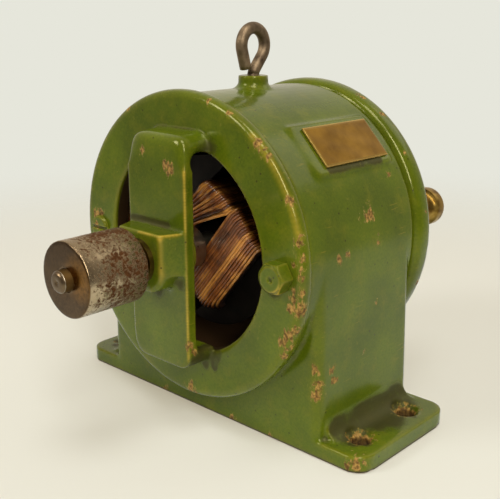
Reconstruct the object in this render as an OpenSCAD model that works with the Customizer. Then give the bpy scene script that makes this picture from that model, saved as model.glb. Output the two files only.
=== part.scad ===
// Antique two-pole dynamo with a shuttle-wound armature, in millimetres.
// +Z is up, the shaft lies along Y with its pulley towards -Y.
// The origin is the centre of the four foot holes, on the underside of the base.

/* [Casting] */
// Height of the shaft above the underside
axis_h = 56.65; // [52:0.05:64]
// Outer radius of the barrel
barrel_r = 46; // [44:0.1:48]
// Radius of the barrel's bore
bore_r = 36; // [35:0.1:37]
// Width of the base over its two feet
base_w = 125; // [112:0.5:140]
// Depth of the base and pedestal
base_d = 46.5; // [42:0.1:52]
// How far the barrel's front face stands ahead of the pedestal
barrel_ahead = 4.75; // [3:0.05:7]
// How far the barrel's rear face stands behind the pedestal
barrel_behind = 1.85; // [0.5:0.05:3]
// Length of each foot beyond the pedestal
foot_reach = 15.1; // [14:0.1:18]
// Thickness of the feet
foot_t = 5.2; // [4:0.1:7]
// Corner radius of the feet in plan
foot_corner_r = 6; // [3:0.1:8]
// Radius of the pedestal's upright corners
pedestal_corner_r = 3; // [1.5:0.1:4]
// Radius of the hollow between pedestal and foot
foot_fillet_r = 6; // [3:0.1:7]
// Radius of the casting's small broken edges
edge_r = 1.2; // [0.5:0.1:1.4]

/* [Foot holes] */
// Distance of a foot hole from the end of its foot
hole_edge = 8.5; // [7:0.1:9.5]
// Distance between foot holes along the shaft
hole_gap_y = 24; // [20:0.5:28]
// Radius of a foot hole
foot_hole_r = 2.75; // [2:0.05:3]
// Radius of the countersink at the top of a foot hole
foot_sink_r = 4.6; // [3.5:0.1:4.8]
// Depth of that countersink
foot_sink_h = 1.4; // [0.8:0.1:2]

/* [Front bracket] */
// Outer radius of the bracket's ring and of the rear cover
ring_r = 47.5; // [47:0.1:49]
// Thickness of the ring
ring_t = 3.82; // [3:0.01:5]
// Radius of the ring's rounded front edge
ring_edge_r = 1.8; // [0.5:0.1:2.5]
// Radius of the round window in the ring
window_r = 32.5; // [31.8:0.1:33.5]
// Depth of the registers that enter the barrel's bore
register_t = 2; // [1:0.1:2.1]
// Width of the upright strap
strap_w = 24.6; // [22:0.1:27]
// Thickness of the strap
strap_t = 3.5; // [2.5:0.1:4.5]
// How far the strap's face stands ahead of the ring's face
strap_proud = 9.7; // [9:0.1:12]
// Upper end of the strap above the shaft
strap_top = 36.3; // [35.5:0.1:37]
// Lower end of the strap below the shaft
strap_bottom = 34; // [33.5:0.1:36]
// Thickness of the strap's two legs
strap_leg_t = 5.6; // [5:0.1:7]
// Corner radius of the strap's ends
strap_corner_r = 4.5; // [2:0.1:6]
// Radius of the bend where the strap turns into its legs
strap_bend_r = 3; // [1:0.1:3.4]
// Half width of the bearing boss on the strap
boss_half_w = 9; // [8.2:0.1:11]
// How much wider the bearing boss grows on each side on its way back to the strap
boss_flare = 2.8; // [0:0.1:3]
// Radius of the bearing boss's two lower corners
boss_round = 5; // [2:0.1:8]
// Flat top of the bearing boss above the shaft
boss_top = 8.8; // [8:0.1:10]
// How far the bearing boss stands ahead of the strap
boss_proud = 7; // [6:0.1:9]
// How far the bearing boss stands behind the strap
boss_behind = 4; // [2:0.1:4.2]

/* [Rear cover] */
// Thickness of the rear cover at its rim
cover_t = 8.1; // [7.4:0.05:10]
// Thickness of the rear cover's back wall
cover_wall = 3.35; // [2.6:0.05:4]
// Length of the bevel in front of the cover's rim
cover_bevel = 2; // [1:0.1:3]
// Radius of the rim's rounded rear edge
cover_edge_r = 2; // [0.5:0.1:2.5]
// Wall of the two registers
register_wall = 2.5; // [2:0.1:2.8]
// Outer radius of the rear bearing boss
rear_boss_r = 9.5; // [8:0.1:12]
// How far the rear bearing boss stands behind the cover
rear_boss_proud = 8.65; // [7:0.05:11]

/* [Bearings and shaft] */
// Radius of the shaft
shaft_r = 3.175; // [2.8:0.005:3.4]
// Outer radius of the bushes
bush_r = 5.2; // [4.6:0.1:6]
// Radius of the front bush's flange
bush_flange_r = 6.6; // [6.4:0.1:8.5]
// Thickness of the front bush's flange
bush_flange_t = 1.5; // [0.6:0.1:2]
// How far the shaft's front end stands ahead of the pulley
shaft_nose = 3; // [1.5:0.1:5]
// Height of the dome on each shaft end
shaft_dome = 0.7; // [0.5:0.1:1.4]
// How far the shaft's rear end stands behind the rear boss
shaft_tail = 2; // [1.4:0.1:4]
// Radius of the thrust collar behind the front bush
collar_r = 6.5; // [5.5:0.1:7]

/* [Pulley] */
// Radius of the flat belt pulley
pulley_r = 10.8; // [9:0.1:14]
// Length of the pulley's rim along the shaft
pulley_len = 19.9; // [16:0.1:26]
// Radius of the hub behind the pulley's rim
hub_r = 6; // [5:0.1:8]
// Length of that hub
hub_len = 3.6; // [2:0.1:5]
// Chamfer on the pulley's edges
pulley_chamfer = 0.6; // [0.2:0.1:1.5]

/* [Armature] */
// Radius of the shuttle-shaped core
core_r = 27; // [26.6:0.1:27.4]
// Air gap between the core and the field poles
air_gap = 0.7; // [0.4:0.05:1]
// Distance of the core's front end inside the barrel's front face
core_inset_front = 8; // [7.6:0.1:8.4]
// Distance of the core's rear end inside the barrel's rear face
core_inset_rear = 15; // [14.4:0.1:16]
// Half thickness of the web between the two shoes
web_half = 7; // [5:0.1:8]
// Half width of the winding channel
channel_half = 14.6; // [14.2:0.1:15.5]
// Angle of the winding channel above level
wind_angle = 40; // [0:1:90]

/* [Winding] */
// Diameter of the insulated wire
wire_d = 1; // [0.8:0.05:1.04]
// Distance between neighbouring turns
turn_pitch = 1.5; // [1.48:0.01:1.56]
// Turns in the outer layer on each side of the shaft
side_turns = 9; // [4:1:9]
// Distance of the outer layer from the shaft's axis, along the channel
belt_h = 22.3; // [21.5:0.1:22.6]
// Radius at which the turns go over the core's ends
turn_bend_r = 5; // [4:0.1:5.4]
// How far the front end-turns stand ahead of the core
front_overhang = 7.05; // [6.5:0.05:7.3]
// How far the rear end-turns stand behind the core
rear_overhang = 6.5; // [6:0.1:6.8]
// How far the end-turns part to pass the shaft
shaft_bow = 4; // [3.8:0.1:4.4]

/* [Commutator and brushes] */
// Radius of the commutator
comm_r = 8; // [7.5:0.1:8.5]
// Wall of the copper segments
segment_wall = 2; // [1.5:0.1:2.4]
// Width of the slits between the segments
slit_w = 0.8; // [0.5:0.1:1.2]
// Radius of the risers that take the winding's ends
riser_r = 10.5; // [10:0.1:10.8]
// Thickness of the risers
riser_t = 1.2; // [0.8:0.1:1.3]
// Gap left behind the rear end-turns for the winding's ends
lead_room = 3.2; // [3:0.1:3.5]
// Width of a brush along the shaft
brush_w = 4; // [3:0.1:4.2]
// Distance of a brush from the risers, along the shaft
brush_inset = 1; // [0.8:0.1:1.2]
// Breadth of a brush across the shaft
brush_b = 6; // [4:0.1:8]
// Length of a brush
brush_len = 10; // [8:0.1:11]
// Travel of a brush against its spring
brush_travel = 2; // [1:0.1:3]
// Length of a brush spring pressed quite closed
spring_closed = 4; // [3:0.1:5]
// Outer radius of a brush spring
spring_r = 1.8; // [1.4:0.05:1.9]
// Wire thickness of a brush spring
spring_wire = 0.4; // [0.3:0.05:0.6]
// Wall of the brush holders
holder_wall = 1; // [0.8:0.1:1.1]
// Radial clearance of the brush holders over the risers
holder_clear = 0.7; // [0.5:0.1:1]
// Outer radius of the insulating brush carrier
carrier_r = 30; // [28:0.1:31]
// Radius of the opening in the brush carrier
carrier_bore_r = 11.5; // [10.5:0.1:13]
// Distance of the carrier's screws from the shaft's axis
carrier_screw_x = 22; // [18:0.1:26]
// Shank radius of the carrier's screws
carrier_screw_r = 1.4; // [1:0.05:1.8]
// Depth of the carrier's screws in the cover
carrier_screw_bite = 2.2; // [1.5:0.1:2.4]
// Radius of the rivets that hold the brush holders
rivet_r = 0.9; // [0.6:0.05:1.2]

/* [Field coils] */
// Half height of a field pole
pole_half = 13; // [11:0.1:13.6]
// Build-up of a field coil round its pole
coil_wall = 5.2; // [4:0.1:5.4]
// Corner radius of a field coil
coil_corner_r = 4; // [2:0.1:5]
// Clearance of a field coil round the armature core
coil_clear = 1.5; // [1.2:0.1:2]
// Diameter of the insulated leads
lead_d = 1.6; // [1.2:0.1:2]
// Radius of the link lead between the two coils, about the shaft
link_r = 32.8; // [31.8:0.1:33]

/* [Terminals] */
// Distance of a terminal from the upright through the shaft
terminal_x = 34.2; // [33:0.1:35]
// Height of a terminal above the shaft
terminal_z = 4.6; // [3:0.1:6]
// Radius of a terminal stud
stud_r = 2.35; // [2:0.05:2.6]
// Width across flats of the studs' heads and lock nuts
stud_nut_af = 7.2; // [6.6:0.1:7.6]
// Thickness of the studs' heads
stud_head_t = 2.5; // [2:0.1:2.8]
// Radius of a terminal's insulating bush in the cover
insulator_r = 4.4; // [4.2:0.05:4.8]
// Clearance round a stud's head inside the cover
pocket_clear = 1; // [0.8:0.1:1.5]
// Radius of the insulating bush's flange
insulator_flange_r = 6; // [5:0.1:7]
// Thickness of that flange
insulator_flange_t = 4; // [3:0.1:5]
// Thickness of a terminal's lock nut
locknut_t = 3; // [2.4:0.1:4]
// Radius of a terminal's clamp washer
washer_r = 5; // [4.4:0.1:6]
// Thickness of that washer
washer_t = 1; // [0.6:0.1:1.5]
// Length of a terminal's thumb nut
knob_len = 12.7; // [11:0.1:18]
// Greatest radius of the thumb nut
knob_r = 6.4; // [5.8:0.1:8]
// Radius of the thumb nut's neck
knob_neck_r = 3.9; // [3.5:0.1:4.4]
// Thickness of the thumb nut's rim
knob_rim_t = 3; // [2:0.1:4]

/* [Bolts] */
// Width across flats of the hexagon heads
bolt_af = 8.2; // [7:0.1:9]
// Height of the hexagon heads
bolt_head_h = 5; // [3:0.1:6]
// Chamfer round the face of the hexagon heads
bolt_chamfer = 0.4; // [0.1:0.1:0.8]
// Shank radius of the bolts
bolt_r = 2.35; // [2:0.05:2.6]
// Distance of the bolts from the shaft's axis
bolt_circle_r = 39.6; // [39:0.1:41]
// Depth of the bolts in the barrel
bolt_bite = 10; // [6:0.5:14]
// Height of the low round head of the left front screw
low_head_h = 1.3; // [1:0.1:2.5]
// Width of the slot across the low head
slot_w = 1; // [0.6:0.1:1.4]
// Depth of the slot in the low head
slot_depth = 0.7; // [0.3:0.1:0.8]

/* [Lifting eye] */
// Distance of the lifting eye behind the origin
eye_y = 0; // [-4:0.1:4]
// Radius of the boss under the lifting eye
eye_boss_r = 4.7; // [3.8:0.1:6]
// Height of that boss above the barrel
eye_boss_h = 3.9; // [3:0.1:6]
// Thickness of the eye's wire
eye_wire_d = 3.7; // [2.8:0.1:4]
// Radius of the eye at the middle of its wire
eye_r = 5.2; // [5:0.1:6]
// Height of the eye's centre above its boss
eye_rise = 9.1; // [8.8:0.1:10]
// Depth of the eye's stem in its boss
eye_stem = 8; // [5:0.1:9]

/* [Nameplate] */
// Angle of the nameplate's pad above level
plate_angle = 43; // [35:1:55]
// Length of the nameplate along the shaft
plate_len = 30; // [24:0.1:32]
// Width of the nameplate
plate_w = 13.7; // [10:0.1:16]
// Thickness of the nameplate
plate_t = 0.9; // [0.5:0.1:1.4]
// Distance of the nameplate's middle behind the origin
plate_y = 3.4; // [0:0.1:4]
// How far the pad's flat face stands out from the barrel
pad_rise = 0.3; // [0.2:0.05:1]
// How far the pad's front edge stands ahead of the nameplate
pad_margin_front = 4.6; // [1:0.1:6]
// How far the pad stands out past the nameplate's other edges
pad_margin = 2.2; // [1:0.1:3]

/* [Fits] */
// Radial running clearance of the shaft in its bushes
run_clear = 0.04; // [0.02:0.01:0.08]
// Side clearance of sliding and seated pieces
slide_clear = 0.15; // [0.1:0.01:0.25]
// Gap between faces that turn or move against each other
face_gap = 0.3; // [0.2:0.05:0.4]
// Gap between a brush and the commutator, and under the clamp washers
contact_gap = 0.1; // [0.05:0.01:0.15]

/* [Hidden] */
$fn = 72;

// Paint, metal and insulation colours
enamel = [0.34, 0.42, 0.10];
bright_steel = [0.55, 0.52, 0.47];
bronze = [0.62, 0.45, 0.22];
brass = [0.66, 0.48, 0.20];
bronze_wire = [0.30, 0.24, 0.18];
iron = [0.22, 0.21, 0.20];
varnished_wire = [0.42, 0.24, 0.08];
cotton_tape = [0.27, 0.15, 0.09];
ebonite = [0.10, 0.08, 0.07];
red_fibre = [0.42, 0.17, 0.11];
copper = [0.66, 0.36, 0.20];
carbon = [0.13, 0.13, 0.14];

// Overlap that lets two parts of one casting merge, and cutters pass a face
merge = 1;

// Base, pedestal and foot holes
pedestal_half_w = base_w / 2 - foot_reach;
hole_gap_x = base_w - 2 * hole_edge;

// Faces along the shaft
barrel_front = base_d / 2 + barrel_ahead;
barrel_rear = base_d / 2 + barrel_behind;
core_front = barrel_front - core_inset_front;
core_rear = barrel_rear - core_inset_rear;
ring_face = -barrel_front - ring_t;
strap_face = ring_face - strap_proud;
strap_back = strap_face + strap_t;
boss_face = strap_face - boss_proud;
front_bush_end = strap_back + boss_behind;
bush_flange_face = boss_face - bush_flange_t;
pulley_back = bush_flange_face - face_gap;
pulley_rim_back = pulley_back - hub_len;
pulley_face = pulley_rim_back - pulley_len;
shaft_front = pulley_face - shaft_nose;
cover_face = barrel_rear + cover_t;
cover_floor = cover_face - cover_wall;
rear_boss_face = cover_face + rear_boss_proud;
shaft_rear = rear_boss_face + shaft_tail;

// Winding: wire centres of the front and rear end-turns, and what they lie on
front_turn = -core_front - front_overhang;
rear_turn = core_rear + rear_overhang;
seat_gap = 0.1;
wire_seat = wire_d / 2 + seat_gap;
straight_d = belt_h - turn_bend_r;
belt_half = side_turns * turn_pitch;
wind_core_half = belt_half + seat_gap;
bow_power = 1.3;
bend_step = 45;
bend_angles = [0, bend_step, 2 * bend_step];
front_steps = 8;
rear_steps = 6;
lead_lift = 1.5 * wire_d;
lead_bend_r = 2.4;
lead_end_d = 5.5;
lead_end_u = 6.8;
lead_turn_in = 0.06;
wire_sides = 6;
half_loop = 12;

// Commutator and brush gear along the shaft
riser_face = rear_turn + lead_room;
segment_face = riser_face + riser_t;
comm_end = cover_floor - face_gap;
sleeve_r = comm_r - segment_wall;
sleeve_lap = 0.5;
brush_mid_y = segment_face + brush_inset + brush_w / 2;
carrier_front = brush_mid_y + brush_w / 2 + slide_clear + holder_wall;
brush_start = comm_r + contact_gap;
spring_len = spring_closed + brush_travel;
holder_start = riser_r + holder_clear;
holder_end = brush_start + brush_len + spring_len;
holder_half_y = brush_w / 2 + slide_clear + holder_wall;
holder_half_x = brush_b / 2 + slide_clear + holder_wall;
rivet_z = (holder_start + holder_end) / 2;
screw_head_r = 2 * carrier_screw_r;
screw_head_t = 1.1 * carrier_screw_r;

// Field coils
pole_bore_r = core_r + air_gap;
coil_in_half = pole_half + slide_clear;
coil_out_half = coil_in_half + coil_wall;
coil_front = -core_front - slide_clear - coil_wall;
coil_rear = core_rear + slide_clear + coil_wall;
coil_in_r = core_r + coil_clear;
coil_out_r = bore_r - slide_clear;
lead_sides = 8;

// Terminals along their studs
insulator_face = cover_face + insulator_flange_t;
locknut_face = insulator_face + locknut_t;
washer_seat = locknut_face + contact_gap;
knob_seat = washer_seat + washer_t + contact_gap;
knob_end = knob_seat + knob_len;
stud_end = knob_end - knob_rim_t;
stud_head_face = cover_floor - stud_head_t;
pocket_r = stud_nut_af / sqrt(3) + pocket_clear;

// Lifting eye
eye_boss_top = axis_h + barrel_r + eye_boss_h;
eye_centre_z = eye_boss_top + eye_rise;
eye_stem_turn = 38;
eye_tail_turn = 16;
eye_tail = 0.8;
eye_bend = 0.5;
eye_steps = 25;
eye_sides = 24;

// Nameplate
pad_h = barrel_r + pad_rise;
pad_len = plate_len + pad_margin_front + pad_margin;
pad_w = plate_w + 2 * pad_margin;
pad_y = plate_y - (pad_margin_front - pad_margin) / 2;
pad_root = 4;
pad_corner_r = 1.5;

// Along the shaft's axis, from one place to another
module bar_y(from, to, r) {
    translate([0, from, axis_h]) rotate([-90, 0, 0]) cylinder(h = to - from, r = r);
}

// A ring along the shaft's axis
module ring_y(from, to, r_out, r_in) {
    difference() {
        bar_y(from, to, r_out);
        bar_y(from - merge, to + merge, r_in);
    }
}

// A flat outline, drawn across and up from the shaft's axis, given depth along it
module slab_y(from, to) {
    translate([0, to, axis_h]) rotate([90, 0, 0]) linear_extrude(to - from) children();
}

// An outline of radius and place along the shaft, turned about the shaft's axis
module turned_y() {
    translate([0, 0, axis_h]) rotate([-90, 0, 0]) rotate_extrude() children();
}

// A pin along Y at a place across and up from the shaft's axis
module pin_y(x, z, from, to, r) {
    translate([x, 0, z]) bar_y(from, to, r);
}

// A flat rectangle with round corners about its middle
module round_rect(w, h, r) {
    square([w - 2 * r, h], center = true);
    square([w, h - 2 * r], center = true);
    for (x = [-1, 1], y = [-1, 1])
        translate([x * (w / 2 - r), y * (h / 2 - r)]) circle(r);
}

// A hexagon by its width across flats
module hexagon(af) {
    circle(r = af / sqrt(3), $fn = 6);
}

// What belongs to the turning armature, drawn with its winding channel along X
module on_armature() {
    translate([0, 0, axis_h]) rotate([0, -wind_angle, 0]) children();
}

// A pipe of triangles swept along points, kept upright to one side direction
function unit(v) = v / norm(v);
function heading(p, i) = unit(p[min(i + 1, len(p) - 1)] - p[max(i - 1, 0)]);
function side_of(t, side) = unit(side - (side * t) * t);
module pipe(points, r, sides, side) {
    count = len(points);
    last = (count - 1) * sides;
    rings = [
        for (i = [0 : count - 1])
            let (t = heading(points, i), a = side_of(t, side), b = cross(t, a))
                for (k = [0 : sides - 1])
                    points[i] + r * (cos(360 * k / sides) * a + sin(360 * k / sides) * b)
    ];
    walls = [
        for (i = [0 : count - 2], k = [0 : sides - 1])
            let (n = (k + 1) % sides, low = i * sides, high = low + sides)
                each [[low + k, high + k, high + n], [low + k, high + n, low + n]]
    ];
    caps = [
        for (k = [1 : sides - 2])
            each [[0, k, k + 1], [last, last + k + 1, last + k]]
    ];
    polyhedron(rings, concat(walls, caps));
}

// Pedestal, narrowing a little from the underside up to the barrel's widest height
module pedestal() {
    corner_y = base_d / 2 - pedestal_corner_r;
    thin = 0.01;
    hull()
        for (x = [-1, 1], y = [-corner_y, corner_y]) {
            translate([x * (pedestal_half_w - pedestal_corner_r), y, 0])
                cylinder(h = thin, r = pedestal_corner_r, $fn = 32);
            translate([x * (barrel_r - pedestal_corner_r), y, axis_h - thin])
                cylinder(h = thin, r = pedestal_corner_r, $fn = 32);
        }
}

// Hollow fillet that runs from the pedestal's side onto the foot
module foot_fillet() {
    slope_x = (pedestal_half_w - barrel_r) * foot_t / axis_h;
    root_x = pedestal_half_w - slope_x - merge;
    size = foot_fillet_r + merge;
    slab_y(-base_d / 2 + pedestal_corner_r, base_d / 2 - pedestal_corner_r)
        translate([root_x, foot_t - axis_h])
            difference() {
                translate([0, -merge]) square([size, size]);
                translate([size, foot_fillet_r]) circle(foot_fillet_r);
            }
}

module foot_hole(x, y) {
    translate([x, y, -merge]) cylinder(h = foot_t + 2 * merge, r = foot_hole_r);
    translate([x, y, foot_t - foot_sink_h])
        cylinder(h = foot_sink_h, r1 = foot_hole_r, r2 = foot_sink_r);
    translate([x, y, foot_t]) cylinder(h = foot_fillet_r, r = foot_sink_r);
}

// Barrel's wall with its broken outer edges
module barrel() {
    turned_y() polygon([
        [bore_r, -barrel_front],
        [barrel_r - edge_r, -barrel_front],
        [barrel_r, edge_r - barrel_front],
        [barrel_r, barrel_rear - edge_r],
        [barrel_r - edge_r, barrel_rear],
        [bore_r, barrel_rear]
    ]);
}

module field_pole(side) {
    difference() {
        intersection() {
            bar_y(-core_front, core_rear, bore_r + merge);
            translate([side * bore_r, (core_rear - core_front) / 2, axis_h])
                cube([bore_r, core_front + core_rear, 2 * pole_half], center = true);
        }
        bar_y(-core_front - merge, core_rear + merge, pole_bore_r);
    }
}

module eye_boss() {
    flare = edge_r;
    barrel_top = axis_h + barrel_r;
    translate([0, eye_y, barrel_top - merge]) cylinder(h = eye_boss_h + merge, r = eye_boss_r);
    translate([0, eye_y, barrel_top - merge])
        cylinder(h = merge + flare, r1 = eye_boss_r + flare + merge, r2 = eye_boss_r);
}

// The nameplate's place on the barrel: Z square to the plate, Y along the shaft
module on_pad(h) {
    translate([0, 0, axis_h]) rotate([0, 90 - plate_angle, 0]) translate([0, 0, h]) children();
}

module yoke_frame() {
    color(enamel) {
        difference() {
            union() {
                barrel();
                difference() {
                    pedestal();
                    bar_y(-barrel_front, barrel_rear, bore_r + merge);
                }
                linear_extrude(foot_t) round_rect(base_w, base_d, foot_corner_r);
                foot_fillet();
                mirror([1, 0, 0]) foot_fillet();
                eye_boss();
                on_pad(pad_h - pad_root) translate([0, pad_y, 0])
                    linear_extrude(pad_root) round_rect(pad_w, pad_len, pad_corner_r);
            }
            for (x = [-1, 1], y = [-1, 1])
                foot_hole(x * hole_gap_x / 2, y * hole_gap_y / 2);
            for (s = [-1, 1]) {
                pin_y(s * bolt_circle_r, 0, -barrel_front - merge, bolt_bite - barrel_front, bolt_r);
                pin_y(0, s * bolt_circle_r, barrel_rear - bolt_bite, barrel_rear + merge, bolt_r);
            }
            translate([0, eye_y, eye_boss_top - eye_stem])
                cylinder(h = eye_stem + merge, r = eye_wire_d / 2);
        }
        for (s = [-1, 1]) field_pole(s);
    }
}

// Side view of the strap: a bridge whose two legs stand on the ring
module strap_side() {
    depth = strap_proud + merge;
    difference() {
        translate([0, -strap_bottom]) square([depth, strap_top + strap_bottom]);
        translate([strap_t, strap_leg_t + strap_bend_r - strap_bottom])
            square([depth, strap_top + strap_bottom - 2 * strap_leg_t - 2 * strap_bend_r]);
        translate([strap_t + strap_bend_r, strap_leg_t - strap_bottom])
            square([depth, strap_top + strap_bottom - 2 * strap_leg_t]);
        for (z = [strap_leg_t + strap_bend_r - strap_bottom, strap_top - strap_leg_t - strap_bend_r])
            translate([strap_t + strap_bend_r, z]) circle(strap_bend_r);
    }
}

module strap() {
    intersection() {
        translate([-strap_w / 2, strap_face, axis_h])
            rotate([90, 0, 90]) linear_extrude(strap_w) strap_side();
        slab_y(strap_face - merge, -barrel_front)
            translate([0, (strap_top - strap_bottom) / 2])
                round_rect(strap_w, strap_top + strap_bottom, strap_corner_r);
    }
}

// Ring of the bracket, its round front edge and the register behind it
module bracket_ring() {
    inner_edge = ring_r - ring_edge_r;
    turned_y() {
        translate([window_r, ring_face]) square([inner_edge - window_r, ring_t]);
        translate([inner_edge - merge, ring_face + ring_edge_r])
            square([ring_edge_r + merge, ring_t - ring_edge_r]);
        translate([inner_edge, ring_face + ring_edge_r]) circle(ring_edge_r);
        translate([window_r, -barrel_front - merge])
            square([bore_r - window_r, register_t + merge]);
    }
}

// Bearing boss ahead of the strap: flat top, rounded lower corners, sides that spread back to the strap
module front_boss() {
    corner_x = boss_half_w - boss_round;
    corner_z = boss_round - boss_half_w;
    spread_w = min(boss_half_w + boss_flare, strap_w / 2);
    slab_y(boss_face, strap_back) {
        translate([-boss_half_w, corner_z]) square([2 * boss_half_w, boss_top - corner_z]);
        translate([-corner_x, -boss_half_w]) square([2 * corner_x, boss_round]);
        for (s = [-1, 1]) translate([s * corner_x, corner_z]) circle(boss_round);
    }
    translate([0, 0, axis_h + corner_z]) linear_extrude(boss_top - corner_z) polygon([
        [-boss_half_w, boss_face],
        [boss_half_w, boss_face],
        [spread_w, strap_face],
        [spread_w, strap_back],
        [-spread_w, strap_back],
        [-spread_w, strap_face]
    ]);
}

module front_bracket() {
    color(enamel) difference() {
        union() {
            bracket_ring();
            strap();
            front_boss();
            bar_y(strap_back - merge, front_bush_end, boss_half_w);
        }
        bar_y(boss_face - merge, front_bush_end + merge, bush_r);
        for (s = [-1, 1])
            pin_y(s * bolt_circle_r, 0, ring_face - merge, merge - barrel_front, bolt_r);
    }
}

// Rim, back wall and register of the rear cover
module cover_shell() {
    register_r = bore_r - register_wall;
    inner_edge = ring_r - cover_edge_r;
    turned_y() {
        polygon([
            [register_r, barrel_rear],
            [barrel_r, barrel_rear],
            [ring_r, barrel_rear + cover_bevel],
            [ring_r, cover_face - cover_edge_r],
            [inner_edge, cover_face - cover_edge_r],
            [inner_edge, cover_face],
            [bush_r, cover_face],
            [bush_r, cover_floor],
            [register_r, cover_floor]
        ]);
        translate([inner_edge, cover_face - cover_edge_r]) circle(cover_edge_r);
        translate([register_r, barrel_rear - register_t]) square([register_wall, register_t + merge]);
        translate([bush_r, cover_floor]) square([rear_boss_r - bush_r, rear_boss_face - cover_floor]);
    }
}

module rear_cover() {
    color(enamel) difference() {
        cover_shell();
        for (s = [-1, 1]) {
            pin_y(s * terminal_x, terminal_z, barrel_rear - register_t - merge, cover_floor, pocket_r);
            pin_y(s * terminal_x, terminal_z, cover_floor - merge, cover_face + merge, insulator_r);
            pin_y(0, s * bolt_circle_r, barrel_rear - merge, cover_face + merge, bolt_r);
            pin_y(s * carrier_screw_x, 0, cover_floor - merge, cover_floor + carrier_screw_bite,
                carrier_screw_r);
        }
    }
}

module front_bush() {
    color(bronze) {
        ring_y(boss_face, front_bush_end, bush_r, shaft_r + run_clear);
        ring_y(bush_flange_face, boss_face, bush_flange_r, shaft_r + run_clear);
    }
}

module rear_bush() {
    color(bronze) ring_y(cover_floor, rear_boss_face, bush_r, shaft_r + run_clear);
}

// Hexagon bolt along +Y, its head towards -Y, drawn from under its head
module hex_bolt(grip) {
    face_r = bolt_af / 2 - bolt_chamfer;
    rotate([-90, 0, 0]) {
        cylinder(h = grip + bolt_bite, r = bolt_r);
        translate([0, 0, -bolt_head_h]) intersection() {
            linear_extrude(bolt_head_h) hexagon(bolt_af);
            cylinder(h = bolt_head_h, r1 = face_r, r2 = face_r + bolt_head_h);
        }
    }
}

// Low round-headed screw along +Y, its slotted head towards -Y, drawn from under its head
module low_screw(grip) {
    head_r = bolt_af / 2;
    rotate([-90, 0, 0]) difference() {
        union() {
            cylinder(h = grip + bolt_bite, r = bolt_r);
            translate([0, 0, -low_head_h])
                cylinder(h = low_head_h, r1 = head_r - bolt_chamfer, r2 = head_r);
        }
        translate([-head_r, -slot_w / 2, -low_head_h - merge])
            cube([2 * head_r, slot_w, slot_depth + merge]);
    }
}

module front_bolts() {
    color(enamel) {
        translate([bolt_circle_r, ring_face, axis_h]) hex_bolt(ring_t);
        translate([-bolt_circle_r, ring_face, axis_h]) low_screw(ring_t);
    }
}

module rear_bolts() {
    color(enamel) for (s = [-1, 1])
        translate([0, cover_face, axis_h + s * bolt_circle_r]) rotate([0, 0, 180]) hex_bolt(cover_t);
}

// Places along the eye's wire, along the shaft and up from the eye's centre:
// up its stem, round the loop and down to its cut end
eye_path = let (
        from_a = -eye_stem_turn,
        to_a = 180 + eye_tail_turn,
        start = eye_r * [cos(from_a), sin(from_a)],
        neck = [0, start[1] - start[0] / tan(eye_stem_turn)],
        end = eye_r * [cos(to_a), sin(to_a)],
        drop = end[1] - neck[1]
    )
    concat(
        [[0, -eye_rise - eye_stem], neck - [0, eye_bend], neck + eye_bend * unit(start - neck)],
        [for (i = [0 : eye_steps]) let (a = from_a + (to_a - from_a) * i / eye_steps)
            eye_r * [cos(a), sin(a)]],
        [end + eye_tail * drop * [tan(eye_tail_turn), -1]]
    );

module lifting_eye() {
    color(bronze_wire) translate([0, eye_y, eye_centre_z])
        pipe([for (p = eye_path) [0, p[0], p[1]]], eye_wire_d / 2, eye_sides, [1, 0, 0]);
}

module nameplate() {
    color(brass) on_pad(pad_h) translate([0, plate_y, plate_t / 2])
        cube([plate_w, plate_len, plate_t], center = true);
}

// A taped coil that fits round a field pole and against the barrel's bore
module field_coil(side) {
    mid_y = (core_rear - core_front) / 2;
    pole_len = core_front + core_rear;
    color(cotton_tape) difference() {
        intersection() {
            bar_y(coil_front - merge, coil_rear + merge, coil_out_r);
            translate([side > 0 ? 0 : -bore_r, mid_y, axis_h]) rotate([90, 0, 90]) linear_extrude(bore_r)
                difference() {
                    round_rect(coil_rear - coil_front, 2 * coil_out_half, coil_corner_r);
                    square([pole_len + 2 * slide_clear, 2 * coil_in_half], center = true);
                }
        }
        bar_y(coil_front - merge, coil_rear + merge, coil_in_r);
    }
}

module field_coil_left() {
    field_coil(-1);
}

module field_coil_right() {
    field_coil(1);
}

// An insulated lead along points given across, along and up from the shaft's axis
module lead(points, side) {
    color(cotton_tape) translate([0, 0, axis_h]) pipe(points, lead_d / 2, lead_sides, side);
}

// Lead that joins the two field coils under the armature
module coil_link() {
    steps = 10;
    link_y = coil_rear + 2 * lead_d;
    drop = 24;
    ends = [for (s = [-1, 1]) link_r * [s * cos(drop), 0, -sin(drop)]];
    sweep = 180 - 2 * drop;
    lead(concat(
        [for (y = [coil_rear, coil_rear + lead_d]) ends[0] + [0, y, 0]],
        [for (i = [1 : steps - 1]) let (a = 180 + drop + sweep * i / steps)
            [link_r * cos(a), link_y, link_r * sin(a)]],
        [for (y = [coil_rear + lead_d, coil_rear]) ends[1] + [0, y, 0]]
    ), [0, 1, 1]);
}

// Lead from a field coil back to its terminal's stud
module field_lead(side) {
    coil_x = side * (coil_in_r + coil_out_r) / 2;
    stud_x = side * terminal_x;
    lead([
        [coil_x, coil_rear, terminal_z],
        [coil_x, coil_rear + lead_d, terminal_z],
        [stud_x, stud_head_face - lead_d, terminal_z],
        [stud_x, stud_head_face, terminal_z]
    ], [0, 0, 1]);
}

module field_lead_left() {
    field_lead(-1);
}

module field_lead_right() {
    field_lead(1);
}

// Insulating plate that carries the two brush holders inside the rear cover
module brush_carrier() {
    color(red_fibre) difference() {
        ring_y(carrier_front, cover_floor, carrier_r, carrier_bore_r);
        for (s = [-1, 1]) {
            pin_y(s * carrier_screw_x, 0, carrier_front - merge, cover_floor + merge, carrier_screw_r);
            pin_y(0, s * rivet_z, carrier_front - merge, cover_floor + merge, rivet_r);
            pin_y(s * terminal_x, terminal_z, carrier_front - merge, cover_floor + merge, pocket_r);
        }
    }
}

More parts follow.
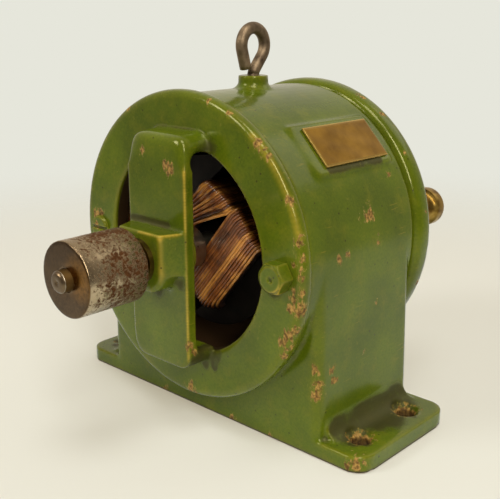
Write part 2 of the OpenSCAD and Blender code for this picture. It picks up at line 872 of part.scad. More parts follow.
module carrier_screws() {
    color(brass) for (s = [-1, 1]) {
        pin_y(s * carrier_screw_x, 0, carrier_front, cover_floor + carrier_screw_bite, carrier_screw_r);
        pin_y(s * carrier_screw_x, 0, carrier_front - screw_head_t, carrier_front, screw_head_r);
    }
}

// What lies above the shaft, or with -1 the same thing below it
module above_or_below(side) {
    translate([0, 0, axis_h]) rotate([0, side > 0 ? 0 : 180, 0]) children();
}

// Brass box, open towards the commutator, in which a brush slides
module brush_holder(side) {
    inner_x = 2 * (holder_half_x - holder_wall);
    inner_y = 2 * (holder_half_y - holder_wall);
    color(brass) difference() {
        above_or_below(side) translate([0, brush_mid_y, 0]) difference() {
            translate([-holder_half_x, -holder_half_y, holder_start])
                cube([2 * holder_half_x, 2 * holder_half_y, holder_end + holder_wall - holder_start]);
            translate([-inner_x / 2, -inner_y / 2, 0]) cube([inner_x, inner_y, holder_end]);
        }
        pin_y(0, side * rivet_z, carrier_front - holder_wall - merge / 2, carrier_front + merge, rivet_r);
    }
}

module brush_holder_top() {
    brush_holder(1);
}

module brush_holder_bottom() {
    brush_holder(-1);
}

module holder_rivets() {
    color(brass) for (s = [-1, 1])
        pin_y(0, s * rivet_z, carrier_front - holder_wall, cover_floor, rivet_r);
}

// Carbon brush with its end hollowed to the commutator
module brush(side) {
    color(carbon) difference() {
        above_or_below(side) translate([-brush_b / 2, brush_mid_y - brush_w / 2, 0])
            cube([brush_b, brush_w, brush_start + brush_len]);
        bar_y(segment_face - merge, comm_end + merge, brush_start);
    }
}

module brush_top() {
    brush(1);
}

module brush_bottom() {
    brush(-1);
}

// Spring between a brush and the end of its holder, as the tube that its coils fill
module brush_spring(side) {
    color(bright_steel) above_or_below(side)
        translate([0, brush_mid_y, brush_start + brush_len]) difference() {
            cylinder(h = spring_len, r = spring_r);
            translate([0, 0, -merge]) cylinder(h = spring_len + 2 * merge, r = spring_r - spring_wire);
        }
}

module brush_spring_top() {
    brush_spring(1);
}

module brush_spring_bottom() {
    brush_spring(-1);
}

// Lead from a terminal's stud round to the outer end of a brush holder
module brush_lead(side) {
    steps = 6;
    run_r = holder_end + holder_wall + 3 * lead_d;
    stud_x = terminal_x - 1.5 * lead_d;
    run_y = stud_head_face - 2 * lead_d;
    from_a = atan2(side * terminal_z, terminal_x);
    to_a = -72;
    holder_out = holder_end + holder_wall;
    points = concat(
        [for (y = [stud_head_face, stud_head_face - lead_d]) [stud_x, y, side * terminal_z]],
        [for (i = [1 : steps]) let (a = from_a + (to_a - from_a) * i / steps)
            [run_r * cos(a), run_y, run_r * sin(a)]],
        [[0, brush_mid_y, -holder_out - lead_d], [0, brush_mid_y, -holder_out]]
    );
    lead([for (p = points) [side * p[0], p[1], side * p[2]]], [1, 1, 0]);
}

module brush_lead_left() {
    brush_lead(-1);
}

module brush_lead_right() {
    brush_lead(1);
}

// Insulating bush that takes a terminal's stud through the rear cover
module terminal_insulator(side) {
    color(ebonite) translate([side * terminal_x, 0, terminal_z]) {
        ring_y(cover_floor, cover_face, insulator_r, stud_r);
        ring_y(cover_face, insulator_face, insulator_flange_r, stud_r);
    }
}

module terminal_insulator_left() {
    terminal_insulator(-1);
}

module terminal_insulator_right() {
    terminal_insulator(1);
}

module terminal_stud(side) {
    color(brass) translate([side * terminal_x, 0, terminal_z]) {
        bar_y(stud_head_face, stud_end, stud_r);
        slab_y(stud_head_face, cover_floor) hexagon(stud_nut_af);
    }
}

module terminal_stud_left() {
    terminal_stud(-1);
}

module terminal_stud_right() {
    terminal_stud(1);
}

module terminal_locknuts() {
    color(brass) for (s = [-1, 1])
        translate([s * terminal_x, 0, terminal_z]) difference() {
            slab_y(insulator_face, locknut_face) hexagon(stud_nut_af);
            bar_y(insulator_face - merge, locknut_face + merge, stud_r);
        }
}

module clamp_washer(side) {
    color(brass) translate([side * terminal_x, 0, terminal_z])
        ring_y(washer_seat, washer_seat + washer_t, washer_r, stud_r + run_clear);
}

module clamp_washer_left() {
    clamp_washer(-1);
}

module clamp_washer_right() {
    clamp_washer(1);
}

// Thumb nut: a hollow-sided neck that opens out to a round rim with a low dome
module thumb_nut(side) {
    rim_from = knob_end - 2 * knob_rim_t;
    flare_h = rim_from - knob_seat;
    flare_steps = 8;
    dome_steps = 8;
    edge_from = rim_from + knob_rim_t;
    flare = [for (i = [0 : flare_steps]) let (k = i / flare_steps)
        [knob_neck_r + (knob_r - knob_neck_r) * (1 - sqrt(1 - k * k)), knob_seat + flare_h * k]];
    dome = [for (i = [0 : dome_steps]) let (a = 90 * i / dome_steps)
        [knob_r * cos(a), edge_from + (knob_end - edge_from) * sin(a)]];
    color(brass) translate([side * terminal_x, 0, terminal_z]) difference() {
        turned_y() polygon(concat([[0, knob_seat]], flare, dome));
        bar_y(knob_seat - merge, stud_end + contact_gap, stud_r + run_clear);
    }
}

module thumb_nut_left() {
    thumb_nut(-1);
}

module thumb_nut_right() {
    thumb_nut(1);
}

module armature_shaft() {
    color(bright_steel) turned_y() polygon([
        [0, shaft_front],
        [shaft_r - shaft_dome, shaft_front + shaft_dome / 3],
        [shaft_r, shaft_front + shaft_dome],
        [shaft_r, shaft_rear - shaft_dome],
        [shaft_r - shaft_dome, shaft_rear - shaft_dome / 3],
        [0, shaft_rear]
    ]);
}

module drive_pulley() {
    color(bright_steel) turned_y() polygon([
        [shaft_r, pulley_face],
        [pulley_r - pulley_chamfer, pulley_face],
        [pulley_r, pulley_face + pulley_chamfer],
        [pulley_r, pulley_rim_back - pulley_chamfer],
        [pulley_r - pulley_chamfer, pulley_rim_back],
        [hub_r, pulley_rim_back],
        [hub_r, pulley_back],
        [shaft_r, pulley_back]
    ]);
}

module thrust_collar() {
    color(bright_steel)
        ring_y(front_bush_end + face_gap, front_turn - wire_d / 2 - face_gap, collar_r, shaft_r);
}

// Shuttle core: a round bar of iron with a deep channel down each of two sides
module armature_core() {
    color(iron) difference() {
        ring_y(-core_front, core_rear, core_r, shaft_r);
        on_armature() for (s = [-1, 1])
            translate([s * (web_half + core_r / 2), (core_rear - core_front) / 2, 0])
                cube([core_r, core_front + core_rear + 2 * merge, 2 * channel_half], center = true);
    }
}

// Long section of the inner layers: what the outer turns lie on, given along X and Y
module wind_section() {
    corner_r = turn_bend_r - wire_seat / cos(bend_step / 2);
    half_y = (rear_turn - front_turn) / 2 - turn_bend_r;
    translate([0, (front_turn + rear_turn) / 2]) polygon([
        for (q = [0 : 3], a = bend_angles)
            let (x = q == 0 || q == 3 ? straight_d : -straight_d, y = q < 2 ? half_y : -half_y)
                [x, y] + corner_r * [cos(90 * q + a), sin(90 * q + a)]
    ]);
}

// Inner layers of the winding, as one solid that fills the channels and bulges at both ends
module winding_core() {
    lobe = wind_core_half + shaft_bow;
    core_len = core_front + core_rear + 2 * slide_clear;
    mid_y = (core_rear - core_front) / 2;
    color(varnished_wire) on_armature() difference() {
        union() {
            linear_extrude(2 * wind_core_half, center = true) wind_section();
            intersection() {
                linear_extrude(2 * lobe, center = true) wind_section();
                translate([0, rear_turn, 0]) rotate([90, 0, 0]) linear_extrude(rear_turn - front_turn)
                    polygon([
                        [straight_d, wind_core_half], [0, lobe], [-straight_d, wind_core_half],
                        [-straight_d, -wind_core_half], [0, -lobe], [straight_d, -wind_core_half]
                    ]);
            }
        }
        translate([0, mid_y, 0]) cube([2 * (web_half + seat_gap), core_len, 2 * core_r], center = true);
        for (s = [-1, 1])
            translate([0, mid_y, s * (wind_core_half + core_r / 2)])
                cube([2 * core_r, core_len, core_r], center = true);
        translate([0, rear_turn + merge, 0]) rotate([90, 0, 0])
            cylinder(h = rear_turn - front_turn + 2 * merge, r = shaft_r + slide_clear);
    }
}

// Outer layer of the winding: places are along the channel, along the shaft and across
function reversed(p) = [for (i = [len(p) - 1 : -1 : 0]) p[i]];
function turn_u(j) = (j - side_turns + 0.5) * turn_pitch;
function bow(j, d) = sign(turn_u(j)) * shaft_bow * (1 - pow(abs(d) / straight_d, bow_power));
function corner(side, end, u, angles) = [
    for (a = angles)
        [
            side * (straight_d + turn_bend_r * cos(a)),
            end > 0 ? rear_turn - turn_bend_r * (1 - sin(a)) : front_turn + turn_bend_r * (1 - sin(a)),
            u
        ]
];
function front_pass(j) = [
    for (i = [1 : front_steps - 1])
        let (d = straight_d * (1 - 2 * i / front_steps))
            [d, front_turn, turn_u(j) + bow(j, d)]
];
function rear_pass(j) = [
    for (i = [1 : rear_steps - 1])
        let (d = straight_d * (2 * i / rear_steps - 1))
            [d, rear_turn, turn_u(j) + bow(j, d) + turn_pitch * i / rear_steps]
];
function turn(j) = concat(
    j > 0 ? corner(1, 1, turn_u(j), reversed(bend_angles)) : [],
    corner(1, -1, turn_u(j), bend_angles),
    front_pass(j),
    corner(-1, -1, turn_u(j), reversed(bend_angles)),
    j < 2 * side_turns - 1 ? concat(corner(-1, 1, turn_u(j), bend_angles), rear_pass(j)) : []
);

// An end of the winding, led over the rear end-turns and square onto its riser
function winding_end(side) =
    let (
        lift_y = rear_turn + lead_lift,
        u = turn_u(0),
        over = [belt_h - lead_bend_r, lift_y, u],
        foot = [lead_end_d, lift_y, -lead_end_u],
        end = [
            [lead_end_d, riser_face, -lead_end_u],
            [lead_end_d, riser_face - wire_d, -lead_end_u],
            foot + lead_turn_in * (over - foot),
            (foot + over) / 2,
            over,
            over + lead_bend_r * [sin(bend_step), cos(bend_step) - 1, 0],
            [belt_h, lift_y - lead_bend_r, u]
        ]
    )
    [for (p = end) [side * p[0], p[1], side * p[2]]];

winding_path = concat(
    winding_end(1),
    [for (j = [0 : 2 * side_turns - 1]) each turn(j)],
    reversed(winding_end(-1))
);

// Least gap between two stretches of the winding that are over half a turn apart
function least_gap(p) = min([
    for (i = [0 : len(p) - half_loop - 1])
        min([for (k = [i + half_loop : len(p) - 1]) norm(p[i] - p[k])])
]) - wire_d;

module armature_winding() {
    echo(winding_turns = 2 * side_turns, least_gap_mm = least_gap(winding_path));
    color(varnished_wire) on_armature() pipe(winding_path, wire_d / 2, wire_sides, [0, 0, 1]);
}

module commutator_sleeve() {
    color(ebonite) ring_y(riser_face - sleeve_lap, comm_end, sleeve_r, shaft_r);
}

// Half of the commutator, with the riser that the winding's end meets
module commutator_segment(side) {
    color(copper) intersection() {
        union() {
            ring_y(riser_face, comm_end, comm_r, sleeve_r);
            ring_y(riser_face, segment_face, riser_r, sleeve_r);
        }
        on_armature() translate([-core_r, riser_face - merge, side > 0 ? slit_w / 2 : -core_r - slit_w / 2])
            cube([2 * core_r, comm_end - riser_face + 2 * merge, core_r]);
    }
}

module commutator_segment_a() {
    commutator_segment(-1);
}

module commutator_segment_b() {
    commutator_segment(1);
}

yoke_frame();
front_bracket();
rear_cover();
front_bush();
rear_bush();
front_bolts();
rear_bolts();
lifting_eye();
nameplate();
field_coil_left();
field_coil_right();
coil_link();
field_lead_left();
field_lead_right();
brush_carrier();
carrier_screws();
brush_holder_top();
brush_holder_bottom();
holder_rivets();
brush_top();
brush_bottom();
brush_spring_top();
brush_spring_bottom();
brush_lead_left();
brush_lead_right();
terminal_insulator_left();
terminal_insulator_right();
terminal_stud_left();
terminal_stud_right();
terminal_locknuts();
clamp_washer_left();
clamp_washer_right();
thumb_nut_left();
thumb_nut_right();
armature_shaft();
drive_pulley();
thrust_collar();
armature_core();
winding_core();
armature_winding();
commutator_sleeve();
commutator_segment_a();
commutator_segment_b();
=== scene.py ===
"""A small antique dynamo: painted castings, worn metal and hand-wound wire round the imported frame."""

import random
from functools import partial
from math import cos, hypot, pi, radians, sin, sqrt, tan

import bpy
import numpy as np
from mathutils import Matrix, Vector


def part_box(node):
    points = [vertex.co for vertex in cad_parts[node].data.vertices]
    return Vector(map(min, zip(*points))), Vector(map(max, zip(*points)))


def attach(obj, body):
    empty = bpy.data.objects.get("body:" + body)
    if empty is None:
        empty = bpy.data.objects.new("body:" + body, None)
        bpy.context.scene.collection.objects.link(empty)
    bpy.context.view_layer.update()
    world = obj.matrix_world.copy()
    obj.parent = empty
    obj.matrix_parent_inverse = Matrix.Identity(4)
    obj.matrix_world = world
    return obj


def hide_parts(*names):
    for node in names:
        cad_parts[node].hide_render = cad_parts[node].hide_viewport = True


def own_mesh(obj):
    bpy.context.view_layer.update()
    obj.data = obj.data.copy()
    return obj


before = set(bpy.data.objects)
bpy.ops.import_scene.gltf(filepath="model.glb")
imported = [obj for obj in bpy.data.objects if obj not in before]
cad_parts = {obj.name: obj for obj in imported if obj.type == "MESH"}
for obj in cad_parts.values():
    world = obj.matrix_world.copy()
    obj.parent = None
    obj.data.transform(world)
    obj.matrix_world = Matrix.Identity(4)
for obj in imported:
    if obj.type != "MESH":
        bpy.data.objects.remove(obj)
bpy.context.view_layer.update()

# Yoke frame: the barrel, its pedestal, two feet, the eye's boss and the plate's pad are one iron
# casting, filled, rubbed down and brushed with thick green enamel, which softens every edge and corner.
# It is bolted between the front bracket and the rear cover, and all else hangs on it.
MM = 0.001
scene = bpy.context.scene


def box_mm(node):
    """The lowest corner, the highest corner and the middle of a CAD node, in mm."""
    low, high = (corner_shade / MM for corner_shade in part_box(node))
    return low, high, (low + high) / 2


shaft_low, shaft_high, shaft_mid = box_mm("armature_shaft")
axis_z = shaft_mid.z


def linear(hex_colour):
    """An sRGB hex colour as linear red, green, blue and alpha."""
    parts = [int(hex_colour[i : i + 2], 16) / 255 for i in (1, 3, 5)]
    return (*[c / 12.92 if c <= 0.04045 else ((c + 0.055) / 1.055) ** 2.4 for c in parts], 1.0)


def per(size_mm):
    """The scale at which a texture's pattern is about that size."""
    return 1 / (size_mm * MM)


def plug(node, inputs):
    """Fills a node's inputs, each with a value, a hex colour, a socket or a node's first output."""
    for name, value in inputs.items():
        if isinstance(value, bpy.types.Node):
            value = value.outputs[0]
        if isinstance(value, bpy.types.NodeSocket):
            node.id_data.links.new(value, node.inputs[name])
        else:
            node.inputs[name].default_value = linear(value) if isinstance(value, str) else value


def add_node(tree, kind, inputs=None, **settings):
    """A shader node in a tree, with its settings and inputs."""
    node = tree.nodes.new("ShaderNode" + kind)
    for name, value in settings.items():
        setattr(node, name, value)
    plug(node, inputs or {})
    return node


def new_material(name, **inputs):
    """A Principled material, a function that adds nodes to it, its shader and places on the object."""
    material = bpy.data.materials.new(name)
    material.use_nodes = True
    add = partial(add_node, material.node_tree)
    shader = material.node_tree.nodes["Principled BSDF"]
    plug(shader, {socket.replace("_", " "): value for socket, value in inputs.items()})
    return material, add, shader, add("TexCoord").outputs["Object"]


def new_piece(name, mesh, material, body, slot, *nodes):
    """A mesh in the row frame as a piece that rides on a body and stands for CAD nodes."""
    piece = bpy.data.objects.new(name, mesh)
    scene.collection.objects.link(piece)
    mesh.materials.clear()
    mesh.materials.append(material)
    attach(piece, body)
    if nodes:
        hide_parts(*nodes)
    return piece


def rows_of(items, what):
    """Three numbers for each of a mesh's items."""
    values = np.zeros(len(items) * 3, np.float32)
    items.foreach_get(what, values)
    return values.reshape(-1, 3).astype(float)


def points_of(mesh):
    """Vertex places in mm."""
    return rows_of(mesh.vertices, "co") / MM


def move_points(mesh, places):
    """Puts the vertices at places in mm."""
    mesh.vertices.foreach_set("co", (places * MM).ravel())
    mesh.update()


def keep_values(mesh, name, values):
    """Stores one number per vertex for the materials to read."""
    store = mesh.attributes.new(name, "FLOAT", "POINT")
    store.data.foreach_set("value", np.clip(values, 0, 1).astype(np.float32))


def pairs_of(mesh):
    """The two vertices of every edge."""
    pairs = np.zeros(len(mesh.edges) * 2, np.int32)
    mesh.edges.foreach_get("vertices", pairs)
    return pairs.reshape(-1, 2)


def spread(values, pairs):
    """Each vertex takes the mean of its neighbours."""
    one, other = pairs.T
    near = np.bincount(pairs.ravel(), minlength=len(values))
    total = [np.bincount(one, c[other], len(c)) + np.bincount(other, c[one], len(c))
             for c in values.reshape(len(values), -1).T]
    return (np.stack(total, 1) / np.maximum(near, 1)[:, None]).reshape(values.shape)


def soft_casting(node, voxel_mm, relax):
    """A CAD node's shape under thick paint: rebuilt in small even faces, with its edges eased."""
    body = bpy.data.objects.new(node + "_form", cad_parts[node].data.copy())
    scene.collection.objects.link(body)
    skin = body.modifiers.new("skin", "REMESH")
    skin.mode = "VOXEL"
    skin.voxel_size = voxel_mm * MM
    eased = body.modifiers.new("eased", "SMOOTH")
    eased.factor = 0.5
    eased.iterations = relax
    mesh = bpy.data.meshes.new_from_object(body.evaluated_get(bpy.context.evaluated_depsgraph_get()))
    bpy.data.objects.remove(body)
    mesh.shade_smooth()
    return mesh


def ease_more(mesh, share, rounds):
    """Rounds a casting further where share, a number per vertex, is above nothing."""
    pairs, places = pairs_of(mesh), points_of(mesh)
    for _ in range(rounds):
        places += (spread(places, pairs) - places) * share[:, None] * 0.5
    move_points(mesh, places)


def between(values, none, full):
    """0 up to none, 1 from full on, and even steps between them."""
    return np.clip((values - none) / (full - none), 0, 1)


def spot_field(places, spots, soft=False):
    """1 at each spot of (x, y, z, reach), falling to 0 at its reach; soft spots run into each other."""
    field = np.zeros(len(places))
    for *spot, reach in spots:
        away = np.linalg.norm(places - spot, axis=1) / reach
        field = field + np.clip(1 - away**2, 0, 1) ** 2 if soft else np.maximum(field, 1 - away)
    return field


def mark_wear(mesh, worn=(), grime_and_shade=(), thin=(), bare=None, rubbed=None):
    """Stores where paint is bent over edges or into corners, worn, grimy, thin, or was never laid, and where
    shade and highlights are painted on.
    """
    places, pairs = points_of(mesh), pairs_of(mesh)
    step = np.linalg.norm(places[pairs[:, 0]] - places[pairs[:, 1]], axis=1).mean()
    bend = ((places - spread(places, pairs)) * rows_of(mesh.vertex_normals, "vector")).sum(1) / step**2
    for _ in range(3):
        bend = spread(bend, pairs)
    edge_bend = 0.22
    knocks = spot_field(places, worn)
    marks = {
        "edge": bend / edge_bend, "hollow": -bend / edge_bend,
        "worn": np.maximum(knocks, rubbed(*places.T)) if rubbed else knocks,
        "grime_and_shade": spot_field(places, grime_and_shade, soft=True), "thin": spot_field(places, thin),
        "bare": bare(*places.T) if bare else np.zeros(len(places)),
    }
    for name, values in marks.items():
        keep_values(mesh, name, values)


def green_enamel():
    """Brushed oil enamel over brown filler: glossy, uneven, thin and golden on edges, chipped at knocks, with
    painted shade in corners and painted highlights on some edges.
    """
    green, deep, dark, yellowed, gold_and_glint = "#55640d", "#44530a", "#39480b", "#6c6c14", "#c4a03c"
    pale_green = "#7f7a2c"
    filler, pale_filler, dirt_and_shade, rusty = "#543511", "#b58d49", "#2a2110", "#2a180b"
    material, add, shader, place = new_material("green_enamel", IOR=1.5, Specular_Tint="#efe9ae")
    read = {n: add("Attribute", attribute_name=n).outputs["Fac"]
            for n in ("edge", "hollow", "worn", "grime_and_shade", "thin", "bare")}

    broad = add("TexNoise", {"Vector": place, "Scale": per(22), "Detail": 3.0})
    patch = add("TexNoise", {"Vector": place, "Scale": per(6), "Detail": 4.0})
    speckle = add("TexNoise", {"Vector": place, "Scale": per(0.7), "Detail": 5.0})
    flowed = add("MapRange", {"Value": broad, "From Min": 0.36, "From Max": 0.64})
    paint = add("MixRGB", {"Fac": flowed, "Color1": deep, "Color2": green})
    slant = add("Mapping", {"Vector": place, "Rotation": (0.5, 0.9, 0.3), "Scale": (1.0, 0.06, 1.0)})
    scratch = add("TexNoise", {"Vector": slant, "Scale": per(0.5), "Detail": 1.0})
    # Yellowed patches, dark mottle, light flecks, and scratches a few millimetres long from handling
    for field, none, full, most, tint in (
            (patch, 0.52, 0.78, 0.5, yellowed), (speckle, 0.48, 0.68, 0.36, dark),
            (speckle, 0.48, 0.34, 0.16, yellowed), (scratch, 0.72, 0.8, 0.18, gold_and_glint)):
        share = add("MapRange", {"Value": field, "From Min": none, "From Max": full, "To Max": most})
        paint = add("MixRGB", {"Fac": share, "Color1": paint, "Color2": tint})

    # Paint drawn thin over edges lets a golden undercoat through; at the set thin places the gold is partly a
    # painted highlight
    thin = add("Math", {0: read["edge"], 1: read["thin"]}, operation="MULTIPLY")
    uneven = add("MapRange", {"Value": patch, "From Min": 0.3, "From Max": 0.62, "To Min": 0.4})
    thin = add("Math", {0: thin, 1: uneven}, operation="MULTIPLY")
    rim = add("Math", {0: read["edge"], 1: 0.1, 2: thin}, operation="MULTIPLY_ADD")
    paint = add("MixRGB", {"Fac": rim, "Color1": paint, "Color2": gold_and_glint})

    # Soot and oil round what was handled, and painted shade that darkens corners and set places where shade
    # falls
    corner_shade = add("Math", {0: read["hollow"], 1: 0.7}, operation="MULTIPLY")
    grime_and_corner_shade = add("Math", {0: read["grime_and_shade"], 1: corner_shade}, operation="MAXIMUM")
    patchy = add("MapRange", {"Value": patch, "From Min": 0.25, "From Max": 0.75, "To Min": 0.3})
    soot_and_shade = add("Math", {0: grime_and_corner_shade, 1: patchy}, operation="MULTIPLY")
    soot_and_shade = add("Math", {0: speckle, 1: 0.3, 2: soot_and_shade}, operation="MULTIPLY_ADD")
    soot_and_shade = add("MapRange", {"Value": soot_and_shade, "From Min": 0.18, "From Max": 0.75, "To Max": 0.8},
               interpolation_type="SMOOTHSTEP")
    paint = add("MixRGB", {"Fac": soot_and_shade, "Color1": paint, "Color2": dirt_and_shade})

    # Dark pinholes in the enamel, a few tenths of a millimetre wide
    pin = add("TexVoronoi", {"Vector": place, "Scale": per(4.5), "Randomness": 1.0})
    pinhole = add("MapRange", {
        "Value": pin.outputs["Distance"], "From Min": 0.085, "From Max": 0.05, "To Max": 0.75})
    paint = add("MixRGB", {"Fac": pinhole, "Color1": paint, "Color2": dirt_and_shade})

    # Chips: ragged flecks that close up where the wear is strong
    tall = add("Mapping", {"Vector": place, "Scale": (1.3, 1.0, 0.5)})
    flecks = add("TexNoise", {"Vector": tall, "Scale": per(2.1), "Detail": 9.0, "Roughness": 0.72})
    ragged = add("MapRange", {
        "Value": flecks, "From Min": 0.32, "From Max": 0.68, "To Min": -0.6, "To Max": 0.6})
    sparse = add("TexNoise", {"Vector": place, "Scale": per(9), "Detail": 2.0})
    rubbed = add("Math", {0: read["edge"], 1: sparse}, operation="MULTIPLY")
    rubbed = add("Math", {0: rubbed, 1: 0.38}, operation="MULTIPLY")
    worn = add("Math", {0: read["worn"], 1: rubbed}, operation="MAXIMUM")
    worn = add("Math", {0: worn, 1: ragged}, operation="ADD")
    chip = add("MapRange", {"Value": worn, "From Min": 0.64, "From Max": 0.72})
    border = add("MapRange", {"Value": worn, "From Min": 0.46, "From Max": 0.66, "To Max": 0.55})
    paint = add("MixRGB", {"Fac": border, "Color1": paint, "Color2": pale_green})
    tone = add("TexNoise", {"Vector": place, "Scale": per(0.9), "Detail": 5.0})
    tone = add("MapRange", {"Value": tone, "From Min": 0.4, "From Max": 0.66})
    under = add("MixRGB", {"Fac": tone, "Color1": filler, "Color2": pale_filler})
    colour = add("MixRGB", {"Fac": chip, "Color1": paint, "Color2": under})
    colour = add("MixRGB", {"Fac": read["bare"], "Color1": colour, "Color2": rusty})

    # Sound paint shines; chips, soot, painted shade and bare metal are dull
    dull = add("Math", {0: chip, 1: read["bare"]}, operation="MAXIMUM")
    dull = add("Math", {0: dull, 1: soot_and_shade}, operation="MAXIMUM")
    gloss = add("MapRange", {"Value": patch, "To Min": 0.08, "To Max": 0.26})
    rough = add("MapRange", {"Value": dull, "To Min": gloss, "To Max": 0.6})

    # Brush flow in the paint, and the step down into a chip
    flow = add("TexNoise", {"Vector": place, "Scale": per(4), "Detail": 2.0})
    height = add("Math", {0: flow, 1: 0.45}, operation="MULTIPLY")
    height = add("Math", {0: speckle, 1: 0.1, 2: height}, operation="MULTIPLY_ADD")
    height = add("Math", {0: chip, 1: -0.6, 2: height}, operation="MULTIPLY_ADD")
    bump = add("Bump", {"Strength": 0.6, "Distance": 0.16 * MM, "Height": height})
    plug(shader, {"Base Color": colour, "Roughness": rough, "Normal": bump})
    return material


enamel = green_enamel()
both = (-1, 1)
bore_edge, foot_hole_x, foot_hole_y, foot_top = 36.6, 54, 12, 5.2
plate_y, plate_turn = 3.4, radians(43)
pad_reach, pad_turn = 24, 0.36
yoke_worn = [
    (44.4, 1.2, 68.5, 5.7), (45.4, -22.8, 27.6, 3.5), (45.5, -22.8, 22.8, 3.8), (45.5, -22.8, 19.8, 4.1),
    (46.8, -17.3, 26.2, 3.2), (46.8, -15.6, 22.5, 3.0), (45.9, -9.5, 58.9, 2.4), (46.0, -13.6, 58.3, 2.7),
    (45.9, 5.5, 59.7, 2.7), (45.9, 5.5, 61.7, 2.2), (40.8, 16.9, 77.9, 2.4), (46.7, -1.6, 27.2, 2.2),
    (46.4, 4.5, 40.9, 2.2), (46.4, 5.1, 42.3, 1.9), (60.2, -22.4, 2.6, 5.9), (28.8, -23.3, 0.6, 3.2),
    (12, -23.3, 0.6, 3.0), (-20, -23.3, 0.8, 3.5), (-46, 22.5, 30, 4.1), (-61, 20, 4, 4.7),
]
# Soot lies on the feet and round their holes, the fillets above them are darkened, and a painted shadow lies
# under the plate's lower edge
yoke_grime_and_shade = [(sx * x, y, 5.6, 9) for sx in both
              for x, y in ((51, -14), (50, -3), (51, 4), (50, 15), (54, 2))]
yoke_grime_and_shade += [(sx * (foot_hole_x + 4.6 * cos(t)), sy * foot_hole_y + 4.6 * sin(t), foot_top, 2.2)
               for sx in both for sy in both for t in (2.2, 3.1, 4.0, 4.9, 5.8)]
yoke_grime_and_shade += [(sx * 48, y, 7, 5) for sx in both for y in range(-16, 17, 4)]
# Painted shadow along the plate's lower edge
yoke_grime_and_shade += [(38.9, y, 82.7, 2.3) for y in range(-10, 15, 2)]
yoke_mesh = soft_casting("yoke_frame", voxel_mm=0.5, relax=7)
x, y, z = points_of(yoke_mesh).T
off_plate = np.abs(np.arctan2(z - axis_z, x) - plate_turn)
ease_more(yoke_mesh, (off_plate < pad_turn) & (np.abs(y - plate_y) < pad_reach) & (x > 20), 12)


def off_foot_hole(x, y):
    """How far places lie from the middle of the nearest foot hole."""
    return np.hypot(np.abs(x) - foot_hole_x, np.abs(y) - foot_hole_y)


def bare_iron_and_dark_base_line(x, y, z):
    """1 inside the barrel and down the walls of the foot holes, where iron is bare, and on a dark line along
    the base's lower edge.
    """
    in_bore = between(np.hypot(x, z - axis_z), bore_edge, bore_edge - 0.5)
    in_hole = between(off_foot_hole(x, y), 3.0, 2.6) * (z < foot_top - 0.5)
    return np.maximum(np.maximum(in_bore, in_hole), between(z, 0.9, 0.4))


def round_foot_holes(x, y, z):
    """1 on the rims of the foot holes and less on their seats, where the screw heads have rubbed."""
    away = off_foot_hole(x, y)
    return np.maximum(between(away, 4.4, 2.8), 0.45 * between(away, 6.2, 4.7)) * (z < foot_top + 0.6)


mark_wear(yoke_mesh, yoke_worn, yoke_grime_and_shade, bare=bare_iron_and_dark_base_line, rubbed=round_foot_holes)
new_piece("yoke_casting", yoke_mesh, enamel, "frame", "enamel", "yoke_frame")

# Front bracket: one casting of a ring with a round window and an upright strap that carries the bearing.
# It enters the barrel's bore with a low register and wears most of all along its outer edge.
ring_front, ring_reach, window_edge = -31.8, 46.9, 33.0
strap_front, strap_edge = -41.5, 12.2
boss_front, boss_half, boss_top = -48.5, 9.0, axis_z + 8.8


def round_axis(reach, degrees, y):
    """A place at that reach and angle round the shaft, in mm."""
    turn = radians(degrees)
    return reach * cos(turn), y, axis_z + reach * sin(turn)


ring_wear = [
    (49, 4.1), (46, 3.5), (43, 2.6), (27, 2.9), (15, 3.2), (13, 2.9), (7, 3.5), (4, 3.8), (1, 2.9), (-4, 2.6),
    (-9, 3.5), (-11, 3.8), (-13, 3.2), (-17, 2.9), (-19, 3.8), (-21, 3.8), (-27, 3.5), (-30, 3.5),
    (65, 2.6), (75, 2.3), (120, 2.9), (165, 2.9),
]
bracket_worn = [(*round_axis(ring_reach, a, ring_front + 0.6), reach) for a, reach in ring_wear]
bracket_worn += [(x, ring_front, z, reach) for x, z, reach in (
    (44.6, 60.7, 2.6), (44.9, 53.4, 3.2), (44.2, 50.8, 3.5), (43.6, 48.4, 3.5), (42.0, 40.0, 3.8),
    (40.4, 37.0, 3.8), (2.6, 11.0, 5.2), (-41, 61, 5.1))]
bracket_worn += [(x, strap_front, z, reach) for x, z, reach in (
    (5.4, 84.4, 3.7), (6.3, 82.4, 3.3), (-5.1, 86.9, 2.9))]
bracket_worn += [(12.3, -40.7, 31.1, 3.2), (12.3, -38.8, 28.3, 2.9)]
# Soot lies above and below the boss, at both ends of the strap and beside the bolt; on the lit wedge at the
# strap's foot it is painted shade
bracket_grime_and_shade = [(13, -33, 89, 5), (10, strap_front, 50, 3.5), (0, -42, 46, 4), (37, ring_front, 52, 4),
                 (9, ring_front, 21.5, 3)]
bracket_grime_and_shade += [(x, -41.7, 66.6, 2.0) for x in range(-11, 7, 2)]
# Painted shade on the strap's foot beside the window's edge, where the lamps light it
bracket_grime_and_shade += [(12.8, y, z, 5) for y, z in (
    (-38, 24.5), (-36, 26), (-34, 27.5), (-33, 28.5), (-32.5, 25), (-33, 26.5))]
bracket_grime_and_shade += [(13.4, ring_front, z, 1.9) for z in (24.5, 23.5, 22.5, 21.5)]
